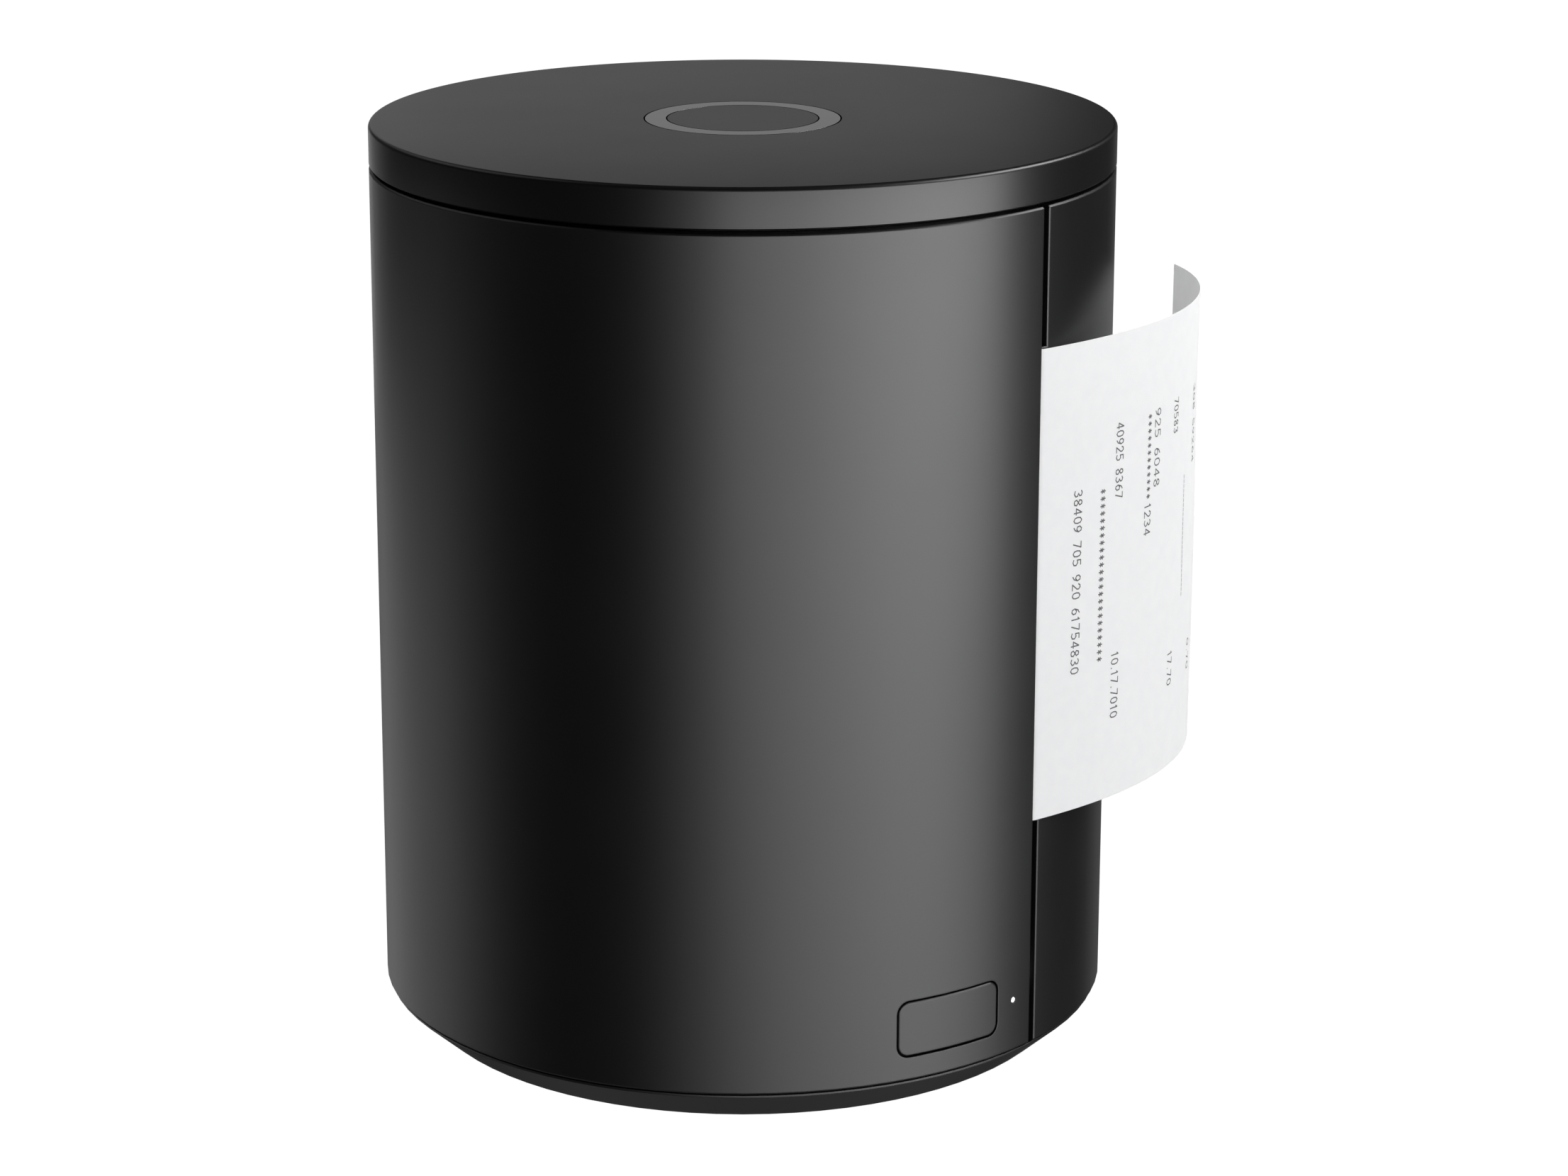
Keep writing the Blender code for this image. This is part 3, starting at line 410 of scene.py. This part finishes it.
def twin(node, name, axes=(DRUM_AXIS,)):
    """A copy of a turned or curved CAD node with the normals of its true surfaces."""
    source = frame["nodes"][node]
    bm = bmesh.new()
    bm.from_mesh(source.data)
    bmesh.ops.remove_doubles(bm, verts=bm.verts, dist=WELD)
    bmesh.ops.dissolve_limit(bm, angle_limit=math.radians(SAME_PLANE), verts=bm.verts, edges=bm.edges)
    mesh = bpy.data.meshes.new(name)
    bm.to_mesh(mesh)
    bm.free()
    true_normals(mesh, axes)
    return finish_piece(name, mesh, node, LOOKS[NODE_LOOK[node]])


def finish_piece(name, mesh, node, material):
    """Link a piece that stands for a CAD node and let it ride on the node's body."""
    made = bpy.data.objects.new(name, mesh)
    bpy.context.scene.collection.objects.link(made)
    mesh.materials.append(material)
    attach(made, node_body(node))
    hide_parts(node)
    return made


def turned_about(mesh, face, axes):
    """The axis that a face is turned about and 1 for an outer or -1 for an inner face, or None."""
    if abs(face.normal.z) >= LEVEL:
        return None
    for axis in axes:
        spots = [mesh.vertices[index].co for index in face.vertices]
        radii = [math.hypot(co.x - axis[0], co.y - axis[1]) for co in spots]
        flat = Vector((face.normal.x, face.normal.y))
        out = Vector((face.center.x - axis[0], face.center.y - axis[1]))
        if flat.length < UPRIGHT or out.length < ON_AXIS:
            continue
        uneven = max(radii) - min(radii) > RADIUS_SLACK + RADIUS_SHARE * max(radii)
        if abs(face.normal.z) < UPRIGHT and uneven:
            continue
        lean = out.angle(flat, 0.0)
        if lean < math.radians(LEAN):
            return axis, 1.0
        if lean > math.radians(180.0 - LEAN):
            return axis, -1.0
    return None


def true_normals(mesh, axes):
    """Give faces that belong to a turned surface the normals of the true surface."""
    mesh.shade_smooth()
    normals = []
    for face in mesh.polygons:
        found = turned_about(mesh, face, axes)
        for index in face.vertices:
            if found is None:
                normals.append(face.normal.copy())
                continue
            axis, sense = found
            co = mesh.vertices[index].co
            out = Vector((co.x - axis[0], co.y - axis[1], 0.0)).normalized()
            flat = math.hypot(face.normal.x, face.normal.y)
            normals.append((out * (sense * flat) + Vector((0.0, 0.0, face.normal.z))).normalized())
    mesh.normals_split_custom_set(normals)


def turned_lid(profile):
    """The lid, turned on the drum's axis, closed, with the normals of its true surface."""
    count = LID_STEPS
    verts = [(0.0, 0.0, profile[0][1]), (0.0, 0.0, profile[-1][1])]
    rims = profile[1:-1]
    for r, z in rims:
        for k in range(count):
            a = 2 * math.pi * k / count
            verts.append((r * math.cos(a), r * math.sin(a), z))

    def spot(row, k):
        return 2 + row * count + k % count

    slopes = []
    for (r0, z0), (r1, z1) in zip(profile, profile[1:]):
        size = math.hypot(r1 - r0, z1 - z0)
        slopes.append(((z0 - z1) / size, (r1 - r0) / size))

    def way(edge, row, k):
        """Normal at one end of a profile edge, shared with the next edge when they meet softly."""
        other = edge - 1 if row == edge - 1 else edge + 1
        out, up = slopes[edge]
        if 0 <= other < len(slopes):
            o2, u2 = slopes[other]
            if out * o2 + up * u2 > 0.9:
                out, up = out + o2, up + u2
        a = 2 * math.pi * k / count
        return Vector((out * math.cos(a), out * math.sin(a), up)).normalized()

    faces, corners = [], []
    last = len(rims) - 1
    for k in range(count):
        faces.append((0, spot(0, k), spot(0, k + 1)))
        corners += [Vector((0.0, 0.0, 1.0))] * 3
        faces.append((1, spot(last, k + 1), spot(last, k)))
        corners += [Vector((0.0, 0.0, -1.0))] * 3
        for row in range(last):
            faces.append((spot(row, k), spot(row + 1, k), spot(row + 1, k + 1), spot(row, k + 1)))
            edge = row + 1
            corners += [way(edge, row, k), way(edge, row + 1, k), way(edge, row + 1, k + 1),
                        way(edge, row, k + 1)]
    mesh = bpy.data.meshes.new("lid")
    mesh.from_pydata(verts, [], faces)
    mesh.shade_smooth()
    mesh.normals_split_custom_set(corners)
    return finish_piece("lid", mesh, "top_lid", LOOKS["case_turned"])


def build_lid():
    """The lid on the CAD's own profile, in finer steps."""
    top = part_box("top_lid")[1].z
    groove = top - GROOVE_DEEP
    profile = [(0.0, top), (GROOVE_IN, top), (GROOVE_IN, groove), (GROOVE_OUT, groove), (GROOVE_OUT, top)]
    for k in range(ROUND_STEPS + 1):
        a = math.radians(90.0 - 90.0 * k / ROUND_STEPS)
        inset, sink = LID_ROUND * (1 - math.cos(a)), LID_ROUND * (1 - math.sin(a))
        profile.append((DRUM_R - inset, top - sink))
    return turned_lid(profile + LID_UNDERSIDE)


def node_body(node):
    return frame["nodes"][node]["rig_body"]


# ---------------------------------------------------------------- paper

def slot_spot(back):
    """Plan position in the slot, so far back from its mouth."""
    a = math.radians(SLOT_DIR)
    return (SLOT_POINT[0] - back * math.cos(a), SLOT_POINT[1] - back * math.sin(a))


def slip_heading(s):
    return math.radians(SLIP_START_DIR) + SLIP_BEND * s + SLIP_BEND_GROWTH * s * s / 2


def slip_line():
    """Distance from the slot's mouth, plan position and heading along the slip."""
    line = []
    for back in (CUT_OUTER, 0.006, 0.004, 0.002, 0.001):
        line.append((-back, slot_spot(back), math.radians(SLOT_DIR)))
    x, y = SLOT_POINT
    line.append((0.0, (x, y), math.radians((SLIP_START_DIR + SLOT_DIR) / 2)))
    piece = SLIP_LENGTH / SLIP_STEPS
    for i in range(1, SLIP_STEPS + 1):
        s = i * piece
        a = slip_heading(s - piece / 2)
        x += piece * math.cos(a)
        y += piece * math.sin(a)
        line.append((s, (x, y), slip_heading(s)))
    return line


def sheet_mesh(name, line, z0, z1, rows, wave=None):
    """A thin closed band that follows a plan line between two heights."""
    bm = bmesh.new()
    sides = []
    for side in (-0.5, 0.5):
        grid = []
        for s, (x, y), heading in line:
            nx, ny = -math.sin(heading), math.cos(heading)
            column = []
            for k in range(rows + 1):
                z = z0 + (z1 - z0) * k / rows
                lift = side * SHEET_T + (wave(s, z) if wave else 0.0)
                column.append(bm.verts.new((x + nx * lift, y + ny * lift, z)))
            grid.append(column)
        sides.append(grid)
    count = len(line)
    for side, grid in enumerate(sides):
        for i in range(count - 1):
            for k in range(rows):
                quad = (grid[i][k], grid[i + 1][k], grid[i + 1][k + 1], grid[i][k + 1])
                bm.faces.new(quad if side == 0 else quad[::-1])
    a, b = sides
    for i in range(count - 1):
        bm.faces.new((a[i][0], b[i][0], b[i + 1][0], a[i + 1][0]))
        bm.faces.new((a[i][rows], a[i + 1][rows], b[i + 1][rows], b[i][rows]))
    for k in range(rows):
        bm.faces.new((a[0][k], a[0][k + 1], b[0][k + 1], b[0][k]))
        bm.faces.new((a[-1][k], b[-1][k], b[-1][k + 1], a[-1][k + 1]))
    bmesh.ops.recalc_face_normals(bm, faces=bm.faces)
    mesh = bpy.data.meshes.new(name)
    bm.to_mesh(mesh)
    bm.free()
    mesh.shade_smooth()
    mesh.set_sharp_from_angle(angle=math.radians(40))
    made = bpy.data.objects.new(name, mesh)
    bpy.context.scene.collection.objects.link(made)
    return made


def slip_wave(s, z):
    """The faintest unevenness of a real slip, none at the slot."""
    grow = max(0.0, s) / SLIP_LENGTH
    return SLIP_UNEVEN * grow * math.sin(z * 95.0 + 0.6) * math.sin(s * 60.0 + 1.0)


# Strokes of each figure in a box one wide and one high
GLYPHS = {
    "0": [[(0.5, 0.0), (0.15, 0.15), (0.05, 0.5), (0.15, 0.85), (0.5, 1.0), (0.85, 0.85), (0.95, 0.5),
           (0.85, 0.15), (0.5, 0.0)]],
    "1": [[(0.2, 0.8), (0.55, 1.0), (0.55, 0.0)]],
    "2": [[(0.08, 0.78), (0.25, 0.97), (0.6, 1.0), (0.88, 0.82), (0.85, 0.6), (0.05, 0.0), (0.95, 0.0)]],
    "3": [[(0.08, 0.9), (0.4, 1.0), (0.8, 0.9), (0.85, 0.68), (0.45, 0.53), (0.85, 0.4), (0.92, 0.18),
           (0.5, 0.0), (0.05, 0.1)]],
    "4": [[(0.72, 0.0), (0.72, 1.0), (0.03, 0.28), (0.98, 0.28)]],
    "5": [[(0.88, 1.0), (0.18, 1.0), (0.12, 0.55), (0.55, 0.62), (0.92, 0.42), (0.85, 0.12), (0.45, 0.0),
           (0.05, 0.1)]],
    "6": [[(0.78, 0.97), (0.35, 0.8), (0.08, 0.35), (0.25, 0.05), (0.6, 0.0), (0.92, 0.2), (0.85, 0.5),
           (0.5, 0.6), (0.12, 0.42)]],
    "7": [[(0.05, 1.0), (0.95, 1.0), (0.35, 0.0)]],
    "8": [[(0.5, 0.53), (0.12, 0.7), (0.25, 0.95), (0.5, 1.0), (0.75, 0.95), (0.88, 0.7), (0.5, 0.53),
           (0.08, 0.3), (0.2, 0.05), (0.5, 0.0), (0.8, 0.05), (0.92, 0.3), (0.5, 0.53)]],
    "9": [[(0.22, 0.03), (0.65, 0.2), (0.92, 0.65), (0.75, 0.95), (0.4, 1.0), (0.08, 0.8), (0.15, 0.5),
           (0.5, 0.4), (0.88, 0.58)]],
    "-": [[(0.0, 0.3), (0.9, 0.3)]],
    ".": [[(0.4, 0.0), (0.5, 0.06)]],
    "*": [[(0.5, 0.15), (0.5, 0.85)], [(0.18, 0.33), (0.82, 0.67)], [(0.18, 0.67), (0.82, 0.33)]],
    " ": [],
}
WIDE = {".": 0.4, " ": 0.7, "1": 0.75}

# (figures, distance along the slip to the baseline, start height, end height, figure height), metres
PRINT_LINES = [
    ("38409 705 920 61754830", 0.00725, 0.1010, 0.0697, 0.00180),
    ("*" * 24, 0.01340, 0.1002, 0.0705, 0.00165),
    ("40925 8367", 0.01745, 0.1106, 0.0978, 0.00185),
    ("10.17.7010", 0.01745, 0.0713, 0.0599, 0.00185),
    ("*" * 12, 0.02650, 0.1104, 0.0958, 0.00145),
    ("1234", 0.02615, 0.0950, 0.0896, 0.00195),
    ("925 6048", 0.02905, 0.1108, 0.0974, 0.00185),
    ("70583", 0.03650, 0.1110, 0.1050, 0.00185),
    ("17.70", 0.03640, 0.0667, 0.0607, 0.00185),
    ("-" * 26, 0.04240, 0.0964, 0.0751, 0.00080),
    ("308 59264", 0.04830, 0.1108, 0.0972, 0.00185),
    ("0.70", 0.04820, 0.0657, 0.0603, 0.00185),
]


def print_marks(line):
    """Plain figures in the manner of a thermal print; there is no wording."""
    distances = np.array([p[0] for p in line])
    xs = np.array([p[1][0] for p in line])
    ys = np.array([p[1][1] for p in line])
    bm = bmesh.new()

    def spot(s, z):
        x = float(np.interp(s, distances, xs))
        y = float(np.interp(s, distances, ys))
        a = slip_heading(s)
        lift = SHEET_T / 2 + INK_LIFT - slip_wave(s, z)
        return (x + math.sin(a) * lift, y - math.cos(a) * lift, z)

    def mark(s0, z0, s1, z1):
        """One straight pen stroke, a flat strip on the paper."""
        size = math.hypot(s1 - s0, z1 - z0)
        ds, dz = PEN_HALF * (s1 - s0) / size, PEN_HALF * (z1 - z0) / size
        s0, z0 = s0 - ds * PEN_OVERRUN, z0 - dz * PEN_OVERRUN
        s1, z1 = s1 + ds * PEN_OVERRUN, z1 + dz * PEN_OVERRUN
        quad = [spot(s0 - dz, z0 + ds), spot(s1 - dz, z1 + ds),
                spot(s1 + dz, z1 - ds), spot(s0 + dz, z0 - ds)]
        bm.faces.new([bm.verts.new(q) for q in quad])

    for text, base, z_start, z_end, high in PRINT_LINES:
        widths = [WIDE.get(c, 1.0) for c in text]
        unit = (z_start - z_end) / (sum(widths) + FIGURE_GAP * (len(text) - 1))
        z = z_start
        for char, wide in zip(text, widths):
            for stroke in GLYPHS[char]:
                points = [(base + v * high, z - u * unit * wide) for u, v in stroke]
                for start, end in zip(points, points[1:]):
                    mark(*start, *end)
            z -= (wide + FIGURE_GAP) * unit
    mesh = bpy.data.meshes.new("slip_print")
    bm.to_mesh(mesh)
    bm.free()
    made = bpy.data.objects.new("slip_print", mesh)
    bpy.context.scene.collection.objects.link(made)
    mesh.materials.append(LOOKS["print"])
    return made


def build_slip(z0, z1):
    line = slip_line()
    slip = sheet_mesh("printed_slip", line, z0, z1, SLIP_ROWS, slip_wave)
    slip.data.materials.append(LOOKS["paper_white"])
    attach(slip, "door")
    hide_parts("receipt")
    marks = print_marks(line)
    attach(marks, "door")


def web_line():
    """The web's plan from the roll to the nip, round the platen, and on to the cut."""
    def on_platen(angle):
        a = math.radians(angle)
        return (PLATEN_AXIS[0] + PATH_R * math.cos(a), PLATEN_AXIS[1] + PATH_R * math.sin(a))

    heading = math.radians(NIP_ANGLE + 90)
    nip = on_platen(NIP_ANGLE)
    line = []
    for k in range(WEB_STEPS):
        back = ROLL_BACK * (1 - k / WEB_STEPS)
        place = (nip[0] - back * math.cos(heading), nip[1] - back * math.sin(heading))
        line.append((0.0, place, heading))
    for k in range(WRAP_STEPS + 1):
        a = NIP_ANGLE + (SLOT_DIR - 90 - NIP_ANGLE) * k / WRAP_STEPS
        line.append((0.0, on_platen(a), math.radians(a + 90)))
    for back in (0.015, 0.012, CUT_INNER):
        line.append((0.0, slot_spot(back), math.radians(SLOT_DIR)))
    return line


def build_web(z0, z1):
    web = web_line()
    band = sheet_mesh("paper_from_roll", web, z0, z1, WEB_ROWS)
    band.data.materials.append(LOOKS["paper_white"])
    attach(band, node_body("paper_web"))
    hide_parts("paper_web")


def build_paper():
    low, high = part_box("receipt")
    build_slip(low.z, high.z)
    build_web(low.z, high.z)


# ---------------------------------------------------------------- feed key, twins and looks

def key_outline():
    """Centre of curvature and outward direction of each point round the key, seen from outside."""
    half_u, half_v = KEY_WIDE / 2 - KEY_CORNER, KEY_HIGH / 2 - KEY_CORNER
    points = []
    for quarter, (su, sv) in enumerate(((1, 1), (-1, 1), (-1, -1), (1, -1))):
        for k in range(9):
            b = math.radians(90.0 * quarter + 11.25 * k)
            points.append((su * half_u, sv * half_v, math.cos(b), math.sin(b)))
        if quarter in (0, 2):
            points += [(su * half_u * (1 - k / 5), sv * half_v, 0.0, float(sv)) for k in range(1, 10)]
    return points


def build_feed_key():
    """The feed key: a front with a softly rounded rim, and the CAD piece behind it, set back a little."""
    a = math.radians(KEY_ANGLE)
    radial = Vector((math.cos(a), math.sin(a), 0.0))
    side = Vector((-math.sin(a), math.cos(a), 0.0))
    outline = key_outline()
    verts, faces, corners = [], [], []

    def ring(inset, sink, tilt):
        """One loop of the front, inset from the outline and sunk below the drum's surface."""
        made = []
        for cu, cv, du, dv in outline:
            u = cu + du * (KEY_CORNER - inset)
            v = cv + dv * (KEY_CORNER - inset)
            deep = math.sqrt(DRUM_R ** 2 - u * u)
            out = (radial * deep + side * u).normalized()
            rim = side * du + Vector((0.0, 0.0, dv))
            verts.append(radial * (deep - sink) + side * u + Vector((0.0, 0.0, KEY_Z + v)))
            made.append((len(verts) - 1, (rim * math.cos(tilt) + out * math.sin(tilt)).normalized()))
        return made

    def face(points, normals=None):
        faces.append([p[0] for p in points])
        corners.extend(normals or [p[1] for p in points])

    loops = [ring(0.0, KEY_SET_BACK, 0.0)]
    for k in range(6):
        b = math.radians(18.0 * k)
        loops.append(ring(KEY_ROUND * (1 - math.cos(b)), KEY_ROUND * (1 - math.sin(b)), b))
    count = len(outline)
    for low, high in zip(loops, loops[1:]):
        for i in range(count):
            j = (i + 1) % count
            face((low[i], low[j], high[j], high[i]))
    for i in range(count // 2 - 1):
        quad = (i, i + 1, count - 2 - i, count - 1 - i)
        face([loops[-1][k] for k in quad])
        face([loops[0][k] for k in reversed(quad)], [-radial] * 4)
    source = frame["nodes"]["feed_button"].data
    first = len(verts)
    for vert in source.vertices:
        co = vert.co.copy()
        size = math.hypot(co.x, co.y)
        if size > DRUM_R - KEY_SET_BACK / 2:
            co.x, co.y = co.x * (size - KEY_SET_BACK) / size, co.y * (size - KEY_SET_BACK) / size
        verts.append(co)
    for poly in source.polygons:
        faces.append([first + index for index in poly.vertices])
        corners.extend([poly.normal.copy()] * len(poly.vertices))
    mesh = bpy.data.meshes.new("feed_key")
    mesh.from_pydata(verts, [], faces)
    mesh.shade_smooth()
    mesh.normals_split_custom_set(corners)
    return finish_piece("feed_key", mesh, "feed_button", LOOKS[NODE_LOOK["feed_button"]])


def build_twins():
    everything = (DRUM_AXIS, HINGE_AXIS, PLATEN_AXIS)
    build_lid()
    twin("main_shell", "drum_wall", everything)
    twin("paper_door", "door_wall", everything)
    twin("base_tray", "base")
    build_feed_key()
    twin("lid_inlay_ring", "lid_ring")
    twin("paper_roll", "till_roll", (ROLL_AXIS,))
    twin("roll_core", "card_core", (ROLL_AXIS,))
    twin("roll_turntable", "turntable", (ROLL_AXIS,))
    twin("spindle_post", "spindle", (ROLL_AXIS,))
    twin("platen_roller", "platen_rubber", (PLATEN_AXIS,))
    twin("platen_shaft", "platen_rod", (PLATEN_AXIS,))
    twin("platen_bushing_upper", "upper_bush", (PLATEN_AXIS,))
    twin("platen_bushing_lower", "lower_bush", (PLATEN_AXIS,))
    twin("hinge_pin", "hinge_rod", (HINGE_AXIS,))
    twin("cutter_motor", "cutter_can", (CUTTER_AXIS,))
    twin("feed_motor", "motor_can", (MOTOR_AXIS,))
    twin("chassis_deck", "bay_floor", (DRUM_AXIS, HINGE_AXIS))
    twin("bay_ceiling", "bay_top", (DRUM_AXIS, HINGE_AXIS))
    twin("foot_pad", "rubber_foot")
    for i in (1, 2, 3):
        low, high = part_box(f"frame_post_{i}")
        twin(f"frame_post_{i}", f"bay_post_{i}", (((low.x + high.x) / 2, (low.y + high.y) / 2),))


def dress_nodes():
    for name, node in frame["nodes"].items():
        node.data.materials.clear()
        node.data.materials.append(LOOKS[NODE_LOOK[name]])


# ---------------------------------------------------------------- stage, light, camera

def backdrop(name, verts, faces, glow):
    """Part of the plain pale room. It shows to the camera but throws no light on the object."""
    mesh = bpy.data.meshes.new(name)
    mesh.from_pydata(verts, [], faces)
    made = bpy.data.objects.new(name, mesh)
    bpy.context.scene.collection.objects.link(made)
    look = Look("pale_" + name, (0.9, 0.9, 0.9), 0.9)
    look.vary_rough(20.0, 0.02)
    look.shader.inputs["Specular IOR Level"].default_value = 0.0
    look.shader.inputs["Emission Color"].default_value = (1.0, 1.0, 1.0, 1.0)
    look.shader.inputs["Emission Strength"].default_value = glow
    mesh.materials.append(look.mat)
    made.visible_diffuse = False
    made.visible_glossy = False
    made.visible_transmission = False
    made.visible_shadow = False
    made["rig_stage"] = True


def build_stage():
    world = bpy.data.worlds.new("studio")
    bpy.context.scene.world = world
    world.use_nodes = True
    back = world.node_tree.nodes["Background"]
    back.inputs["Color"].default_value = (1.0, 1.0, 1.0, 1.0)
    back.inputs["Strength"].default_value = WORLD_LIGHT
    corners = [(x * FLOOR_HALF, y * FLOOR_HALF, 0.0) for x, y in ((-1, -1), (1, -1), (1, 1), (-1, 1))]
    backdrop("floor", corners, [(0, 1, 2, 3)], FLOOR_GLOW)
    n = ROOM_SIDES
    ring = []
    for high in ROOM_SPAN:
        for k in range(n):
            a = 2 * math.pi * k / n
            ring.append((ROOM_R * math.cos(a), ROOM_R * math.sin(a), high))
    walls = [(k, (k + 1) % n, n + (k + 1) % n, n + k) for k in range(n)]
    backdrop("backdrop", ring, [*walls, tuple(range(n, 2 * n))], ROOM_GLOW)


def receivers(name, objects):
    """The pieces that one group of lights falls on."""
    group = bpy.data.collections.new(name)
    for obj in objects:
        group.objects.link(obj)
    return group


def soft_light(name, place, wide, high, glow, group):
    """A soft rectangle of the given radiance that faces the object and falls on one group only."""
    data = bpy.data.lights.new(name, "AREA")
    data.shape = "RECTANGLE"
    data.size = wide
    data.size_y = high
    data.energy = glow * wide * high * math.pi
    lamp = bpy.data.objects.new(name, data)
    lamp.location = place
    lamp.rotation_euler = (AIM - lamp.location).to_track_quat("-Z", "Y").to_euler()
    lamp.visible_camera = False
    lamp.light_linking.receiver_collection = group
    bpy.context.scene.collection.objects.link(lamp)


def panel(name, azimuth, span, glow, group, angle=PANEL_STEP, ring=PANEL_R):
    """One upright part of a curved soft panel round the object."""
    a = math.radians(azimuth)
    low, high = span
    place = (ring * math.cos(a), ring * math.sin(a), (low + high) / 2)
    soft_light(name, place, 2 * ring * math.tan(math.radians(angle / 2)), high - low, glow, group)


def level_panel(name, high, size, glow, group):
    """A square soft panel straight above or below the object."""
    soft_light(name, (0.0, 0.0, high), size, size, glow, group)


def build_lights():
    """Strong graded panels for the black case, milder even ones for the paper and the works inside."""
    shown = [o for o in bpy.context.scene.objects if o.type == "MESH" and not o.get("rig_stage")]
    case = receivers("case_receivers", [o for o in shown if o.name in CASE_PIECES])
    rest = receivers("other_receivers", [o for o in shown if o.name not in CASE_PIECES])
    for name, strips, span in (("low", LOW_STRIPS, LOW_SPAN), ("core", CORE_STRIPS, CORE_SPAN),
                               ("rear", REAR_STRIPS, REAR_SPAN)):
        for azimuth, glow in strips.items():
            panel(f"{name}_strip_{azimuth}", azimuth, span, glow, case)
    panel("rear_high", 170, (0.6, 1.3), 0.45, case, 40.0, 0.85)
    level_panel("over_case", 1.4, 1.2, 0.05, case)
    level_panel("under_case", -0.7, 1.4, 0.1, case)
    panel("edge_light", 5, HIGH_SPAN, EDGE_GLOW, case, 60.0)
    panel("rear_left_high", 140, HIGH_SPAN, 0.35, case, 40.0)
    for azimuth in range(-180, 180, SURROUND_STEP):
        panel(f"surround_{azimuth}", azimuth, SURROUND_SPAN, SURROUND_GLOW, rest, SURROUND_STEP, SURROUND_R)
    level_panel("over_rest", 1.6, 1.4, SURROUND_GLOW, rest)


def build_camera():
    data = bpy.data.cameras.new("camera")
    data.sensor_width = SENSOR_WIDE
    data.lens = LENS
    data.shift_x, data.shift_y = LENS_SHIFT
    data.clip_start = CLIP_START
    camera = bpy.data.objects.new("camera", data)
    camera.location = CAMERA_PLACE
    camera.rotation_euler = (math.radians(90.0 - CAMERA_PITCH), 0.0, 0.0)
    bpy.context.scene.collection.objects.link(camera)
    bpy.context.scene.camera = camera


dress_nodes()
build_twins()
build_paper()
build_stage()
build_lights()
build_camera()
bpy.context.scene.view_settings.view_transform = "Standard"
bpy.context.scene.view_settings.look = "None"
